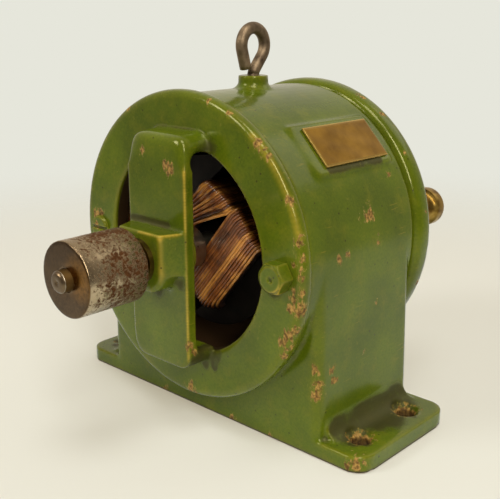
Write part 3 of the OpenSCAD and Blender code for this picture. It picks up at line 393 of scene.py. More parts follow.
# Paint is thin along the strap's right edge, the boss's upper edges, its right corner and the ring's rim, and
# there the gold is partly a painted highlight
bracket_thin = [(strap_edge, strap_front + 0.1, z, 0.9) for z in range(25, 91)]
bracket_thin += [(x, boss_front, boss_top, 0.8) for x in range(0, 10)]
bracket_thin += [(boss_half + 0.4 * k, boss_front + k, boss_top, 1.1) for k in range(7)]
bracket_thin += [(boss_half + 0.2, boss_front + 0.3, boss_top - k, 1.8) for k in range(15)]
bracket_thin += [(*round_axis(ring_reach, a, ring_front + 0.4), 1.8) for a in range(14, 54, 2)]
bracket_mesh = soft_casting("front_bracket", voxel_mm=0.45, relax=5)
x, y, z = points_of(bracket_mesh).T
aside, upper = np.abs(x), z > axis_z
strap_end = between(np.abs(z - axis_z), 26, 32) * (y < -32.4) * (aside < 16)
boss_edge = between(np.hypot(aside - boss_half, y - boss_front), 2.4, 1.2) * (z < boss_top - 1.5)
boss_foot = between(aside, 11.2, 10) * (aside > 5) * (y < strap_front + 0.4)
boss_foot *= between(z, axis_z - 2, axis_z - 5) * (z > axis_z - 14)
ring_edge = between(np.hypot(x, z - axis_z), 45, 46.2) * (y < ring_front + 2.2)
for share, rounds in ((strap_end * upper, 150), (strap_end * ~upper, 20), (boss_edge, 14), (boss_foot, 30),
                      (ring_edge, 12)):
    ease_more(bracket_mesh, share, rounds)


def inside_window(x, y, z):
    """1 on the unpainted wall of the round window and on what lies behind the ring."""
    away = np.hypot(x, z - axis_z)
    behind = between(y, ring_front + 0.9, ring_front + 1.4)
    return behind * between(away, window_edge, window_edge - 0.5) * (away > 20)


mark_wear(bracket_mesh, bracket_worn, bracket_grime_and_shade, bracket_thin, inside_window)
new_piece("bracket_casting", bracket_mesh, enamel, "frame", "enamel", "front_bracket")

# Rear cover: a round casting with a thick rim that closes the barrel and carries the rear bearing.
# It is bolted to the yoke, enamelled with it, and chipped here and there along its rim.
rim_reach = 47.5
rim_wear = [(66, 28.4, 2), (63, 28.8, 2.2), (52, 29.3, 2.2), (34, 27.5, 2), (10, 29.7, 2), (-20, 30, 2),
            (150, 31, 3)]
cover_worn = [(*round_axis(rim_reach, a, y), reach) for a, y, reach in rim_wear]
cover_mesh = soft_casting("rear_cover", voxel_mm=0.55, relax=6)
x, y, z = points_of(cover_mesh).T
ease_more(cover_mesh, np.hypot(x, z - axis_z) > 42.5, 30)
mark_wear(cover_mesh, cover_worn, [(0, 32, axis_z - 11, 5), (0, 32, axis_z + 11, 4)])
new_piece("cover_casting", cover_mesh, enamel, "frame", "enamel", "rear_cover")

# Bolts: hexagon bolts hold the cover and the bracket's right side, a low slotted screw its left side.
# They are steel, brushed over with the castings' enamel, and each hexagon head has a centre mark.
head_h, head_circle, chamfer, face_depth = 5.0, 39.6, 0.5, 0.3
mark_r, mark_depth = 0.9, 0.4
for node, outward in (("front_bolts", -1), ("rear_bolts", 1)):
    bolt_mesh = soft_casting(node, voxel_mm=0.2, relax=3)
    low, high, middle = box_mm(node)
    if outward < 0:
        face_y, heads = low.y, [(middle.x + head_circle, middle.z)]
        old_paint = [(middle.x - head_circle - 1.5, face_y + head_h - 1, middle.z + 1, 3.2)]
    else:
        face_y, heads = high.y, [(middle.x, middle.z + side * head_circle) for side in both]
        old_paint = []
    places = points_of(bolt_mesh)
    for x, z in heads:
        away = np.hypot(places[:, 0] - x, places[:, 2] - z)
        on_face = np.abs(places[:, 1] - face_y) < face_depth
        dip = mark_depth * np.clip(1 - (away / mark_r) ** 2, 0, 1) + chamfer * between(away, 3.5, 4.5)
        places[:, 1] -= outward * on_face * dip
    move_points(bolt_mesh, places)
    seats = [(x, face_y - outward * head_h, z, 5) for x, z in heads]
    # A painted highlight, in the gold of thin paint, on each head's lower right facets
    lower_right_glint = [(x + 2.6, face_y - outward, z - 3, 3.4) for x, z in heads]
    mark_wear(bolt_mesh, old_paint, seats, lower_right_glint)
    new_piece(node + "_painted", bolt_mesh, enamel, "frame", "enamel", node)

# Lifting eye: bronze wire, 3.7 mm thick, bent into a loop with its cut end left against the stem
# and screwed into the boss on top of the barrel.
eye_low, eye_high, _ = box_mm("lifting_eye")
wire_r, loop_r = 1.85, 5.2
loop_z = eye_high.z - wire_r - loop_r
stem_foot = eye_low.z - loop_z
stem_turn, tail_turn = radians(38), radians(16)


def skin_rings(rings, closed_start=True, closed_end=True):
    """A mesh over rings of places in mm that all have the same count."""
    mesh = bpy.data.meshes.new("rings")
    side = len(rings[0])
    faces = [(i * side + k, i * side + n, (i + 1) * side + n, (i + 1) * side + k)
             for i in range(len(rings) - 1) for k, n in enumerate([*range(1, side), 0])]
    if closed_start:
        faces.append(tuple(range(side))[::-1])
    if closed_end:
        faces.append(tuple(range((len(rings) - 1) * side, len(rings) * side)))
    mesh.from_pydata((np.array(rings, float).reshape(-1, 3) * MM).tolist(), [], faces)
    mesh.shade_smooth()
    return mesh


def sweep(path, radii, sides, flat_side):
    """Rings along a path, each square to it, turned so that their first point lies to flat_side."""
    path = np.array(path, float)
    ahead = np.gradient(path, axis=0)
    ahead /= np.linalg.norm(ahead, axis=1)[:, None]
    side = np.array(flat_side, float) - (ahead @ np.array(flat_side, float))[:, None] * ahead
    side /= np.linalg.norm(side, axis=1)[:, None]
    other = np.cross(ahead, side)
    turns = np.linspace(0, 2 * pi, sides, endpoint=False)
    radii = np.broadcast_to(radii, len(path))
    return [[p + r * (cos(t) * a + sin(t) * b) for t in turns]
            for p, a, b, r in zip(path, side, other, radii)]


start = np.array([cos(stem_turn), -sin(stem_turn)]) * loop_r
neck_z = start[1] - start[0] / tan(stem_turn)
tail = np.array([-cos(tail_turn), -sin(tail_turn)]) * loop_r
loop_angles = np.linspace(-stem_turn, pi + tail_turn, 44)
drop = 0.8 * (tail[1] - neck_z)
eye_path = [(0, stem_foot), (0, stem_foot / 2), (0, neck_z - 1.0), (0.02, neck_z - 0.4)]
eye_path += [(0.3, neck_z + 0.55), (0.9, neck_z + 1.4), (2.3, neck_z + 3.1)]
eye_path += [(loop_r * cos(a), loop_r * sin(a)) for a in loop_angles]
eye_path += [tuple(tail + drop * k * np.array([tan(tail_turn), -1]))
             for k in (0.25, 0.5, 0.75, 0.97, 1.0)]
eye_radii = np.full(len(eye_path), wire_r)
eye_radii[-1] = wire_r * 0.86
eye_mesh = skin_rings(sweep([(0, y, loop_z + z) for y, z in eye_path], eye_radii, 28, (1, 0, 0)))

bronze_wire, add, shader, place = new_material("tarnished_bronze_wire", Metallic=0.75, Roughness=0.52)
# Drawn wire gone brown, paler where hands and cord have rubbed it
cloud = add("TexNoise", {"Vector": place, "Scale": per(3.5), "Detail": 4.0})
rubbed = add("MapRange", {"Value": cloud, "From Min": 0.25, "From Max": 0.8})
tint = add("MixRGB", {"Fac": rubbed, "Color1": "#4a3b2c", "Color2": "#a58e70"})
fine = add("TexNoise", {"Vector": place, "Scale": per(0.7), "Detail": 3.0})
bump = add("Bump", {"Strength": 0.35, "Distance": 0.08 * MM, "Height": fine})
plug(shader, {"Base Color": tint, "Normal": bump})
new_piece("eye_loop", eye_mesh, bronze_wire, "frame", "eye_wire", "lifting_eye")

# Nameplate: a plain sheet of thin brass, cut to size and soldered to its pad.
# Its face has gone brown, and its edges are rubbed bright and carry a painted highlight.
plate_out = Vector((cos(plate_turn), 0, sin(plate_turn)))
plate_across = Vector((sin(plate_turn), 0, -cos(plate_turn)))
plate_low, plate_high, plate_mid = box_mm("nameplate")
plate_len, plate_w, plate_t = plate_high.y - plate_low.y, 13.7, 0.9


def plate_point(across, along, out):
    """A place on the plate, from its middle, in mm."""
    return plate_mid + plate_across * across + Vector((0, along, 0)) + plate_out * out


def plate_mesh():
    """The sheet as a fine grid on both faces, slightly uneven, with eased edges."""
    across_n, along_n = 28, 60
    ease, rim_width, wave_height = 0.22, 0.6, 0.05
    grid, points, faces, rim_wear_and_highlight = {}, [], [], []
    for face in (1, -1):
        for i in range(across_n + 1):
            for k in range(along_n + 1):
                a = (i / across_n - 0.5) * plate_w
                b = (k / along_n - 0.5) * plate_len
                rim = min(plate_w / 2 - abs(a), plate_len / 2 - abs(b))
                down = ease if rim < 1e-6 else 0
                wave = wave_height * sin(a * 0.9 + 1.3) * sin(b * 0.45) * (face > 0 and rim > 0.4)
                grid[face, i, k] = len(points)
                points.append(plate_point(a, b, face * (plate_t / 2 - down) + wave))
                rim_wear_and_highlight.append(1 - rim / rim_width)
                if i and k:
                    quad = [grid[face, i - m, k - n] for m, n in ((1, 1), (0, 1), (0, 0), (1, 0))]
                    faces.append(quad[::face])
    border = [(i, 0) for i in range(across_n)] + [(across_n, k) for k in range(along_n)]
    border += [(i, along_n) for i in range(across_n, 0, -1)] + [(0, k) for k in range(along_n, 0, -1)]
    for (i, k), (m, n) in zip(border, border[1:] + border[:1]):
        faces.append([grid[1, m, n], grid[1, i, k], grid[-1, i, k], grid[-1, m, n]])
    mesh = bpy.data.meshes.new("plate")
    mesh.from_pydata([p * MM for p in points], [], faces)
    mesh.shade_smooth()
    mesh.set_sharp_from_angle(angle=radians(50))
    keep_values(mesh, "rim", np.array(rim_wear_and_highlight))
    return mesh


plate_brass, add, shader, place = new_material("rubbed_sheet_brass", Metallic=1.0)
# Sheet brass under years of polish and hand grease: brown clouds, fine scratches, a rim rubbed bright and
# painted as a highlight
cloud = add("TexNoise", {"Vector": place, "Scale": per(9), "Detail": 5.0, "Roughness": 0.6})
tarnish = add("MapRange", {"Value": cloud, "From Min": 0.2, "From Max": 0.8})
tint = add("MixRGB", {"Fac": tarnish, "Color1": "#5c3e0a", "Color2": "#8f6a1c"})
# The bright rim is partly wear and partly a painted highlight on the eased edges
rim_wear_and_highlight_read = add("Attribute", attribute_name="rim").outputs["Fac"]
tint = add("MixRGB", {"Fac": rim_wear_and_highlight_read, "Color1": tint, "Color2": "#e2bd6a"})
rough = add("MapRange", {"Value": cloud, "To Min": 0.46, "To Max": 0.24})
scratch = add("TexNoise", {"Vector": place, "Scale": per(0.8), "Detail": 3.0})
bump = add("Bump", {"Strength": 0.3, "Distance": 0.06 * MM, "Height": scratch})
plug(shader, {"Base Color": tint, "Roughness": rough, "Normal": bump})
new_piece("brass_plate", plate_mesh(), plate_brass, "frame", "plate_brass", "nameplate")

# Drive pulley: a plain steel drum with a short hub, turned from bar and pressed on the shaft's front end.
# Its rim is pitted with rust towards the bearing, and its face has gone brown.
pulley_low, pulley_high, _ = box_mm("drive_pulley")
pulley_front, pulley_back = pulley_low.y, pulley_high.y
pulley_r = (pulley_high.x - pulley_low.x) / 2
hub_r, hub_len = 6.0, 3.6
rim_back = pulley_back - hub_len
shaft_r = (shaft_high.x - shaft_low.x) / 2


def turned(profile, centre, sides=128):
    """A closed profile of (radius, place along the shaft) in mm, turned about an axis along Y."""
    turns = [2 * pi * k / sides for k in range(sides)]
    rings = [[(centre[0] + r * cos(t), y, centre[1] + r * sin(t)) for t in turns] for r, y in profile]
    mesh = skin_rings(rings, profile[0][0] > 0.01, profile[-1][0] > 0.01)
    mesh.set_sharp_from_angle(angle=radians(40))
    return mesh


def eased_corner(r, y, inward, size=0.5):
    """Places round the corner between an end face and the rim, from the face outwards."""
    return [(r - size * (1 - sin(t)), y + inward * size * (1 - cos(t)))
            for t in np.linspace(0, pi / 2, 5)]


axis = (0, axis_z)
pulley_profile = [(shaft_r + 0.02, pulley_front + 0.5), (shaft_r + 0.25, pulley_front + 0.1),
                  (shaft_r + 1.3, pulley_front + 0.02), (pulley_r * 0.6, pulley_front),
                  (pulley_r - 1.3, pulley_front)]
pulley_profile += eased_corner(pulley_r, pulley_front, 1)
pulley_profile += [(pulley_r, pulley_front + 6), (pulley_r, rim_back - 6)]
pulley_profile += eased_corner(pulley_r, rim_back, -1)[::-1]
pulley_profile += [(pulley_r - 2, rim_back), (hub_r + 0.3, rim_back), (hub_r, rim_back + 0.3),
                   (hub_r, pulley_back), (shaft_r + 0.02, pulley_back)]

pulley_steel, add, shader, place = new_material("rusted_turned_steel")
# Turned mild steel: grey where belts rubbed it, fine dark rust that thickens to the back, a browned end face
along = add("SeparateXYZ", {"Vector": place}).outputs["Y"]
back_half = add("MapRange", {
    "Value": along, "From Min": (pulley_front + 0.5) * MM, "From Max": (pulley_front + 8) * MM,
    "To Min": -0.07, "To Max": 0.03})
drift = add("TexNoise", {"Vector": place, "Scale": per(5), "Detail": 2.0})
pits = add("TexNoise", {"Vector": place, "Scale": per(0.95), "Detail": 8.0, "Roughness": 0.78})
pitted = add("Math", {0: drift, 1: 0.35, 2: back_half}, operation="MULTIPLY_ADD")
pitted = add("Math", {0: pits, 1: pitted}, operation="ADD")
rust = add("MapRange", {"Value": pitted, "From Min": 0.66, "From Max": 0.73})
face = add("MapRange", {
    "Value": along, "From Min": (pulley_front + 0.3) * MM, "From Max": (pulley_front + 0.05) * MM})
cloud = add("TexNoise", {"Vector": place, "Scale": per(7), "Detail": 4.0})
steel = add("MixRGB", {"Fac": cloud, "Color1": "#8d785c", "Color2": "#c4b08f"})
stain = add("VectorMath", {
    0: place, 1: ((shaft_r + 2.5) * MM, pulley_front * MM, (axis_z + 1.5) * MM)}, operation="DISTANCE")
stain = add("MapRange", {
    "Value": stain.outputs["Value"], "From Min": 7.5 * MM, "From Max": 1.0 * MM, "To Max": 0.85})
brown = add("MixRGB", {"Fac": cloud, "Color1": "#443422", "Color2": "#6c543a"})
brown = add("MixRGB", {"Fac": stain, "Color1": brown, "Color2": "#9a6a26"})
grain = add("MapRange", {"Value": pits, "From Min": 0.42, "From Max": 0.62, "To Max": 0.6})
brown = add("MixRGB", {"Fac": grain, "Color1": brown, "Color2": "#3a2c1c"})
steel = add("MixRGB", {"Fac": face, "Color1": steel, "Color2": brown})
rust_tone = add("TexNoise", {"Vector": place, "Scale": per(0.9), "Detail": 3.0})
rust_colour = add("MixRGB", {"Fac": rust_tone, "Color1": "#2a1506", "Color2": "#643c18"})
on_rim = add("Math", {0: 1.0, 1: face}, operation="SUBTRACT")
rust_rim = add("Math", {0: rust, 1: on_rim}, operation="MULTIPLY")
tint = add("MixRGB", {"Fac": rust_rim, "Color1": steel, "Color2": rust_colour})
plug(shader, {"Base Color": tint})
rusting = (("Metallic", 1.0, 0.0), ("Roughness", 0.25, 0.7), ("Specular IOR Level", 0.5, 0.15))
for socket, clean, rusted in rusting:
    plug(shader, {socket: add("MapRange", {"Value": rust_rim, "To Min": clean, "To Max": rusted})})
lathe = add("TexWave", {"Vector": place, "Scale": per(9), "Distortion": 0.4}, bands_direction="Y")
height = add("Math", {0: rust_rim, 1: -1.0, 2: lathe.outputs["Fac"]}, operation="MULTIPLY_ADD")
bump = add("Bump", {"Strength": 0.4, "Distance": 0.07 * MM, "Height": height})
plug(shader, {"Normal": bump})
drum = turned(pulley_profile, axis)
new_piece("pulley_drum", drum, pulley_steel, "armature", "pulley_steel", "drive_pulley")

# Shaft and thrust collar: bright steel, turned between centres, with a chamfered flat end in front
# and a rounded end behind. The collar is a ring pressed on behind the strap.
shaft_front, shaft_rear, end_len = shaft_low.y, shaft_high.y, 0.7
flat_r, flat_end = shaft_r - end_len, shaft_front + end_len
shaft_profile = [(0.001, shaft_front + 0.5), (0.4, shaft_front + 0.25), (0.75, shaft_front + 0.04),
                 (0.9, shaft_front), (flat_r - 0.12, shaft_front), (flat_r, shaft_front + 0.06),
                 (shaft_r - 0.06, flat_end), (shaft_r, flat_end + 0.12), (shaft_r, shaft_rear - end_len)]
rear_turns = [radians(a) for a in range(15, 90, 15)]
shaft_profile += [(shaft_r * cos(t), shaft_rear - end_len * (1 - sin(t))) for t in rear_turns]
shaft_profile += [(0.001, shaft_rear)]

bright_steel, add, shader, place = new_material("bright_turned_steel", Metallic=1.0)
# Bright steel, a little yellowed with old oil, with fine rings from the tool
cloud = add("TexNoise", {"Vector": place, "Scale": per(3), "Detail": 4.0})
tint = add("MixRGB", {"Fac": cloud, "Color1": "#93846a", "Color2": "#c6bda9"})
# The nose in front of the pulley has browned, and its flat end is dark inside a bright chamfer
along = add("SeparateXYZ", {"Vector": place}).outputs["Y"]
nose = add("MapRange", {"Value": along, "From Min": flat_end * MM, "From Max": (flat_end + 0.2) * MM})
plain = add("Math", {0: along, 1: (pulley_front + 0.4) * MM}, operation="LESS_THAN")
nose = add("Math", {0: nose, 1: plain}, operation="MULTIPLY")
tint = add("MixRGB", {"Fac": nose, "Color1": tint, "Color2": "#5f4827"})
flat = add("Math", {0: along, 1: flat_end * MM}, operation="LESS_THAN")
tint = add("MixRGB", {"Fac": flat, "Color1": tint, "Color2": "#6f5d47"})
rough = add("MapRange", {"Value": cloud, "To Min": 0.22, "To Max": 0.42})
rough = add("Math", {0: nose, 1: 0.3, 2: rough}, operation="MULTIPLY_ADD")
rings = add("TexWave", {"Vector": place, "Scale": per(6), "Distortion": 0.6}, bands_direction="Y")
bump = add("Bump", {"Strength": 0.2, "Distance": 0.04 * MM, "Height": rings.outputs["Fac"]})
plug(shader, {"Base Color": tint, "Roughness": rough, "Normal": bump})
shaft_mesh = turned(shaft_profile, axis, 64)
new_piece("shaft_turned", shaft_mesh, bright_steel, "armature", "steel", "armature_shaft")


def finish_nodes(material, *nodes):
    """CAD nodes whose own shape is right take a material."""
    for node in nodes:
        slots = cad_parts[node].data.materials
        slots.clear()
        slots.append(material)


finish_nodes(bright_steel, "thrust_collar")

# Bushes: turned bearing bronze, pressed into the bracket and the cover.
# Years of oil have left the metal a dull, dark gold.


def clouded(name, size_mm, detail, dark, pale, **inputs):
    """A plain material in two tones, in clouds of that size."""
    material, add, shader, place = new_material(name, **inputs)
    cloud = add("TexNoise", {"Vector": place, "Scale": per(size_mm), "Detail": detail})
    plug(shader, {"Base Color": add("MixRGB", {"Fac": cloud, "Color1": dark, "Color2": pale})})
    return material


finish_nodes(clouded("oiled_bearing_bronze", 2, 4.0, "#4a3d1c", "#8c7338", Metallic=1.0, Roughness=0.34),
             "front_bush", "rear_bush")

# Armature: a shuttle core of soft iron, wound by hand with varnished copper wire. The turns lie in two
# bundles that part round the shaft at both ends; inner layers, near black as painted shade, show between the
# outer turns.
wind_angle = radians(40)
channel = np.array([cos(wind_angle), 0, sin(wind_angle)])
across_channel = np.array([-sin(wind_angle), 0, cos(wind_angle)])
turn_wire, turn_pitch, side_turns = 0.92, 0.91, 16
front_turn = box_mm("armature_winding")[0].y + turn_wire / 2
rear_turn = box_mm("winding_core")[1].y + 0.65
belt_h, bend_r, drawn_in_r = 22.3, 2.2, 20.6
inner_crown, outer_crown = 0.5, 1.6
dive_from, dive_most, tighter = 18.5, 4.5, 0.9
bundle_mid = side_turns * turn_pitch / 2


def on_armature(points):
    """Places along the channel, along the shaft and across it, as places in the row frame, all in mm."""
    points = np.array(points, float)
    placed = points[:, :1] * channel + points[:, 2:] * across_channel
    placed[:, 1] += points[:, 1]
    placed[:, 2] += axis_z
    return placed


def loop_points(u, next_u, lift, under=0.0):
    """One turn, as a closed run of places: over the front, down one side, over the rear, up the other.

    The bundle over the shaft is drawn in to a small circle on the right, the one under it on the left.
    """
    off_middle = (abs(u) - bundle_mid) / bundle_mid
    sink = (outer_crown if off_middle > 0 else inner_crown) * off_middle**2
    r = bend_r + lift
    front, rear = front_turn + sink + bend_r, rear_turn - sink - bend_r
    side = 1 if u > 0 else -1
    drawn_in = sqrt(drawn_in_r**2 - u * u) - bend_r
    right, left = (drawn_in, belt_h - bend_r) if side > 0 else (belt_h - bend_r, drawn_in)
    near, far = (right, left) if side > 0 else (left, right)
    peak, full_bow = (4.5, 4.9 * (1 - abs(u) / 11.5)) if side > 0 else (10, 5.4)

    def share(d):
        """How much of its full bow round the shaft a turn has there."""
        e = d * side
        return 1 - ((e - peak) / (near - peak)) ** 1.1 if e > peak else 1 - (peak - e) / (peak + far)

    def bow(d):
        return side * full_bow * share(d)

    def dive(d):
        """How far the front of the lower bundle falls away past the shaft."""
        out = max(0, hypot(d, u + bow(d)) - dive_from)
        fall = 0.5 * out * out * min(1, max(0, (3 - d) / 6)) + 0.4 * max(0, -9 - d) ** 2
        return 0 if side > 0 else min(dive_most, fall)

    quarter = [radians(a) for a in (0, 18, 36, 54, 72, 90)]
    run = np.linspace(right, -left, 26)[1:-1]
    made = [(right + r * cos(a), front - r * sin(a), u) for a in quarter]
    made += [(d, front - r + dive(d) + under * share(d) ** 0.5, u + bow(d)) for d in run]
    made += [(-left - r * cos(a), front - r * sin(a) + dive(-left), u) for a in quarter[::-1]]
    made += [(-left - r * cos(a), rear + r * sin(a), u) for a in quarter]
    made += [(d, rear + r, u + bow(d) + (next_u - u) * (left + d) / (left + right)) for d in run[::-1]]
    made += [(right + r * cos(a), rear + r * sin(a), next_u) for a in quarter[::-1]]
    return made


draw = random.Random(7)
offsets = [(j - side_turns + 0.5) * turn_pitch for j in range(2 * side_turns)]
offsets = [u * tighter if u > 0 else u for u in offsets]
wire_path, strand = [], []
for j, u in enumerate(offsets):
    next_u = offsets[min(j + 1, len(offsets) - 1)]
    lift = draw.uniform(-0.14, 0.1)
    sway = draw.uniform(-0.08, 0.08)
    points = loop_points(u + sway, next_u + sway, lift, 1.2 * (j % 2) if u > 0 else 0.0)
    wire_path += points
    shade = draw.random()
    strand += [shade if u > 0 else 0.62 * shade + 0.38 * u / offsets[0]] * len(points)
lead_end = [(belt_h - 0.2, rear_turn - 1, offsets[0]), (belt_h - 2.4, rear_turn + 1.5, offsets[0]),
            (12.7, rear_turn + 1.5, -9.8), (6.3, rear_turn + 1.6, -7.2), (5.5, rear_turn + 2.2, -6.8),
            (5.5, rear_turn + 3.2, -6.8)]
wire_path = lead_end[::-1] + wire_path + [(-d, y, -u) for d, y, u in lead_end]
strand = [0.5] * len(lead_end) + strand + [0.5] * len(lead_end)
wire_sides = 8
wire_mesh = skin_rings(sweep(on_armature(wire_path), turn_wire / 2, wire_sides, across_channel))
keep_values(wire_mesh, "strand", np.repeat(strand, wire_sides))
# How far each turn lies behind the bundle's faces, for painted shade deeper in
wire_y = points_of(wire_mesh)[:, 1]
keep_values(wire_mesh, "deep", (np.minimum(wire_y - front_turn, rear_turn - wire_y) - 0.7) / 2.4)

varnished_wire, add, shader, place = new_material(
    "shellacked_copper_wire", Roughness=0.34, Coat_Roughness=0.08)
# Cotton-covered copper soaked in shellac: amber to dark brown from turn to turn, with small wet glints
strand_read = add("Attribute", attribute_name="strand").outputs["Fac"]
cloud = add("TexNoise", {"Vector": place, "Scale": per(5), "Detail": 3.0})
mixed = add("Math", {0: strand_read, 1: 0.55, 2: cloud}, operation="MULTIPLY_ADD")
age = add("MapRange", {"Value": mixed, "From Min": 0.5, "From Max": 1.04})
ramp = add("ValToRGB", {"Fac": age})
ramp.color_ramp.elements[0].color = linear("#35160e")
ramp.color_ramp.elements[1].color = linear("#d08d3c")
middle_tone = ramp.color_ramp.elements.new(0.5)
middle_tone.color = linear("#8a4c1c")
# Turns darken as painted shade where they lie deeper behind the bundle's front and rear faces
depth_shade_read = add("Attribute", attribute_name="deep").outputs["Fac"]
depth_shaded = add("MixRGB", {"Fac": depth_shade_read, "Color1": ramp, "Color2": "#170a06"})
for socket, outer, buried in (("Coat Weight", 0.6, 0.0), ("Specular IOR Level", 0.5, 0.1)):
    plug(shader, {socket: add("MapRange", {"Value": depth_shade_read, "To Min": outer, "To Max": buried})})
thread = add("TexNoise", {"Vector": place, "Scale": per(0.45), "Detail": 2.0})
bump = add("Bump", {"Strength": 0.7, "Distance": 0.12 * MM, "Height": thread})
plug(shader, {"Base Color": depth_shaded, "Normal": bump})
new_piece("wire_turns", wire_mesh, varnished_wire, "armature", "winding", "armature_winding")


def bundle_band(side):
    """The inner layers of one bundle, as a closed band under its outer turns."""
    levels = np.linspace(0.4, 2 * bundle_mid - 0.4, 14)
    outer = [on_armature(loop_points(side * u, side * u, -0.75)) for u in levels]
    inner = [on_armature(loop_points(side * u, side * u, -3.6)) for u in levels[::-1]]
    rows = outer + inner
    rings = [[row[k] for row in rows] for k in range(len(rows[0]))]
    rings.append(rings[0])
    return skin_rings(rings, False, False)


def join_meshes(name, meshes):
    """Several meshes as one."""
    made = bpy.data.meshes.new(name)
    points, faces = [], []
    for mesh in meshes:
        start = len(points)
        points += [tuple(v.co) for v in mesh.vertices]
        faces += [tuple(start + i for i in face.vertices) for face in mesh.polygons]
    made.from_pydata(points, [], faces)
    made.shade_smooth()
    return made


# Inner layers near black as painted shade between the turns, and iron dark with oil, darkened further as
# painted shade inside the barrel
inner_layers = clouded("shellac_in_painted_shade", 2, 3.0, "#1a0c06", "#3c2210", Roughness=0.5)
bands = join_meshes("bands", [bundle_band(-1), bundle_band(1)])
new_piece("wire_inner_layers", bands, inner_layers, "armature", "winding", "winding_core")
finish_nodes(clouded("soft_iron_in_painted_shade", 3, 5.0, "#0e0b09", "#2a231d", Metallic=0.8, Roughness=0.55),
             "armature_core")

# Field coils: copper wire wound on a form, bound with varnished cotton tape that laps round and round,
# and slipped over the two poles inside the barrel.
lap_pitch, lap_step, coil_reach = 6.0, 0.3, 18.0
coil_turns = round(2 * pi * coil_reach / lap_pitch)
cotton_tape, add, shader, place = new_material("varnished_cotton_tape", Roughness=0.5)
# Cloth soaked brown, darker at the edge of each lap, with its weave just showing
lap_read = add("Attribute", attribute_name="lap").outputs["Fac"]
tint = add("MixRGB", {"Fac": lap_read, "Color1": "#3a1e12", "Color2": "#7c4926"})
weave = add("TexNoise", {"Vector": place, "Scale": per(0.6), "Detail": 2.0})
bump = add("Bump", {"Strength": 0.5, "Distance": 0.1 * MM, "Height": weave})
plug(shader, {"Base Color": tint, "Normal": bump})
for side in ("left", "right"):
    node = "field_coil_" + side
    coil_mesh = soft_casting(node, voxel_mm=0.5, relax=5)
    low, high, middle = box_mm(node)
    places = points_of(coil_mesh)
    turn = np.arctan2(places[:, 2] - middle.z, places[:, 1] - middle.y) / (2 * pi)
    lean = (places[:, 0] - middle.x) / (high.x - low.x)
    lap = (turn * coil_turns + lean * 0.8) % 1
    places += rows_of(coil_mesh.vertex_normals, "vector") * ((lap - 1) * lap_step)[:, None]
    move_points(coil_mesh, places)
    keep_values(coil_mesh, "lap", lap)
    new_piece("taped_coil_" + side, coil_mesh, cotton_tape, "frame", "taped_coil", node)

# Leads: stranded copper in varnished cotton sleeving, dark brown, with the braid just showing.
# They run from coil to coil and on to the brush boxes and the terminals.
cotton_sleeve, add, shader, place = new_material("varnished_cotton_sleeving", Roughness=0.55)
# Braid in two browns that slants round the lead
braid = add("TexWave", {"Vector": place, "Scale": per(8), "Distortion": 1.2, "Detail": 1.0},
            bands_direction="DIAGONAL").outputs["Fac"]
tint = add("MixRGB", {"Fac": braid, "Color1": "#2d160c", "Color2": "#5d3219"})
bump = add("Bump", {"Strength": 0.6, "Distance": 0.1 * MM, "Height": braid})
plug(shader, {"Base Color": tint, "Normal": bump})
for node in ("coil_link", "field_lead_left", "field_lead_right", "brush_lead_left", "brush_lead_right"):
    lead_mesh = soft_casting(node, voxel_mm=0.2, relax=3)
    new_piece(node + "_sleeved", lead_mesh, cotton_sleeve, "frame", "lead", node)

# Commutator and brush gear: hard copper segments on an ebonite sleeve, carbon brushes in brass boxes
# riveted to a red fibre ring inside the cover, each pressed down by a coil spring of steel wire.

# Copper browned by the brushes, near-black hard rubber, brick-red fibre and grey-black carbon
finish_nodes(clouded("hard_copper", 1.5, 4.0, "#6b3a20", "#c07a4c", Metallic=1.0, Roughness=0.3),
             "commutator_segment_a", "commutator_segment_b")
finish_nodes(clouded("turned_ebonite", 2, 4.0, "#12100d", "#2b241c", Roughness=0.38),
             "commutator_sleeve", "terminal_insulator_left", "terminal_insulator_right")
finish_nodes(clouded("pressed_red_fibre", 1.2, 5.0, "#4e1c12", "#7f3524", Roughness=0.6),
             "brush_carrier")
finish_nodes(clouded("pressed_carbon", 0.6, 3.0, "#151516", "#323234", Roughness=0.55),
             "brush_top", "brush_bottom")

spring_wire, spring_turns, turn_steps = 0.4, 7, 20
for side, out in (("top", 1), ("bottom", -1)):
    low, high, middle = box_mm("brush_spring_" + side)
    coil_r = (high.x - low.x - spring_wire) / 2
    rise = high.z - low.z - spring_wire
    helix = []
    for i in range(spring_turns * turn_steps + 1):
        k = i / (spring_turns * turn_steps)
        a = 2 * pi * spring_turns * k
        closed = min(1, max(0, (k * spring_turns - 0.8) / (spring_turns - 1.6)))
        helix.append((middle.x + coil_r * cos(a), middle.y + coil_r * sin(a),
                      low.z + spring_wire / 2 + rise * closed))
    spring_mesh = skin_rings(sweep(helix, spring_wire / 2, 8, (0, 0, 1)))
    spring = new_piece("coil_spring_" + side, spring_mesh, bright_steel, "frame", "spring_steel",
                       "brush_spring_" + side)
    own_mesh(spring)

# Terminals: brass studs through ebonite bushes in the cover, each with a lock nut, a clamp washer
# and a turned thumb nut. The brush boxes, rivets and screws are of the same brass.
turned_brass, add, shader, place = new_material("handled_turned_brass", Metallic=1.0)
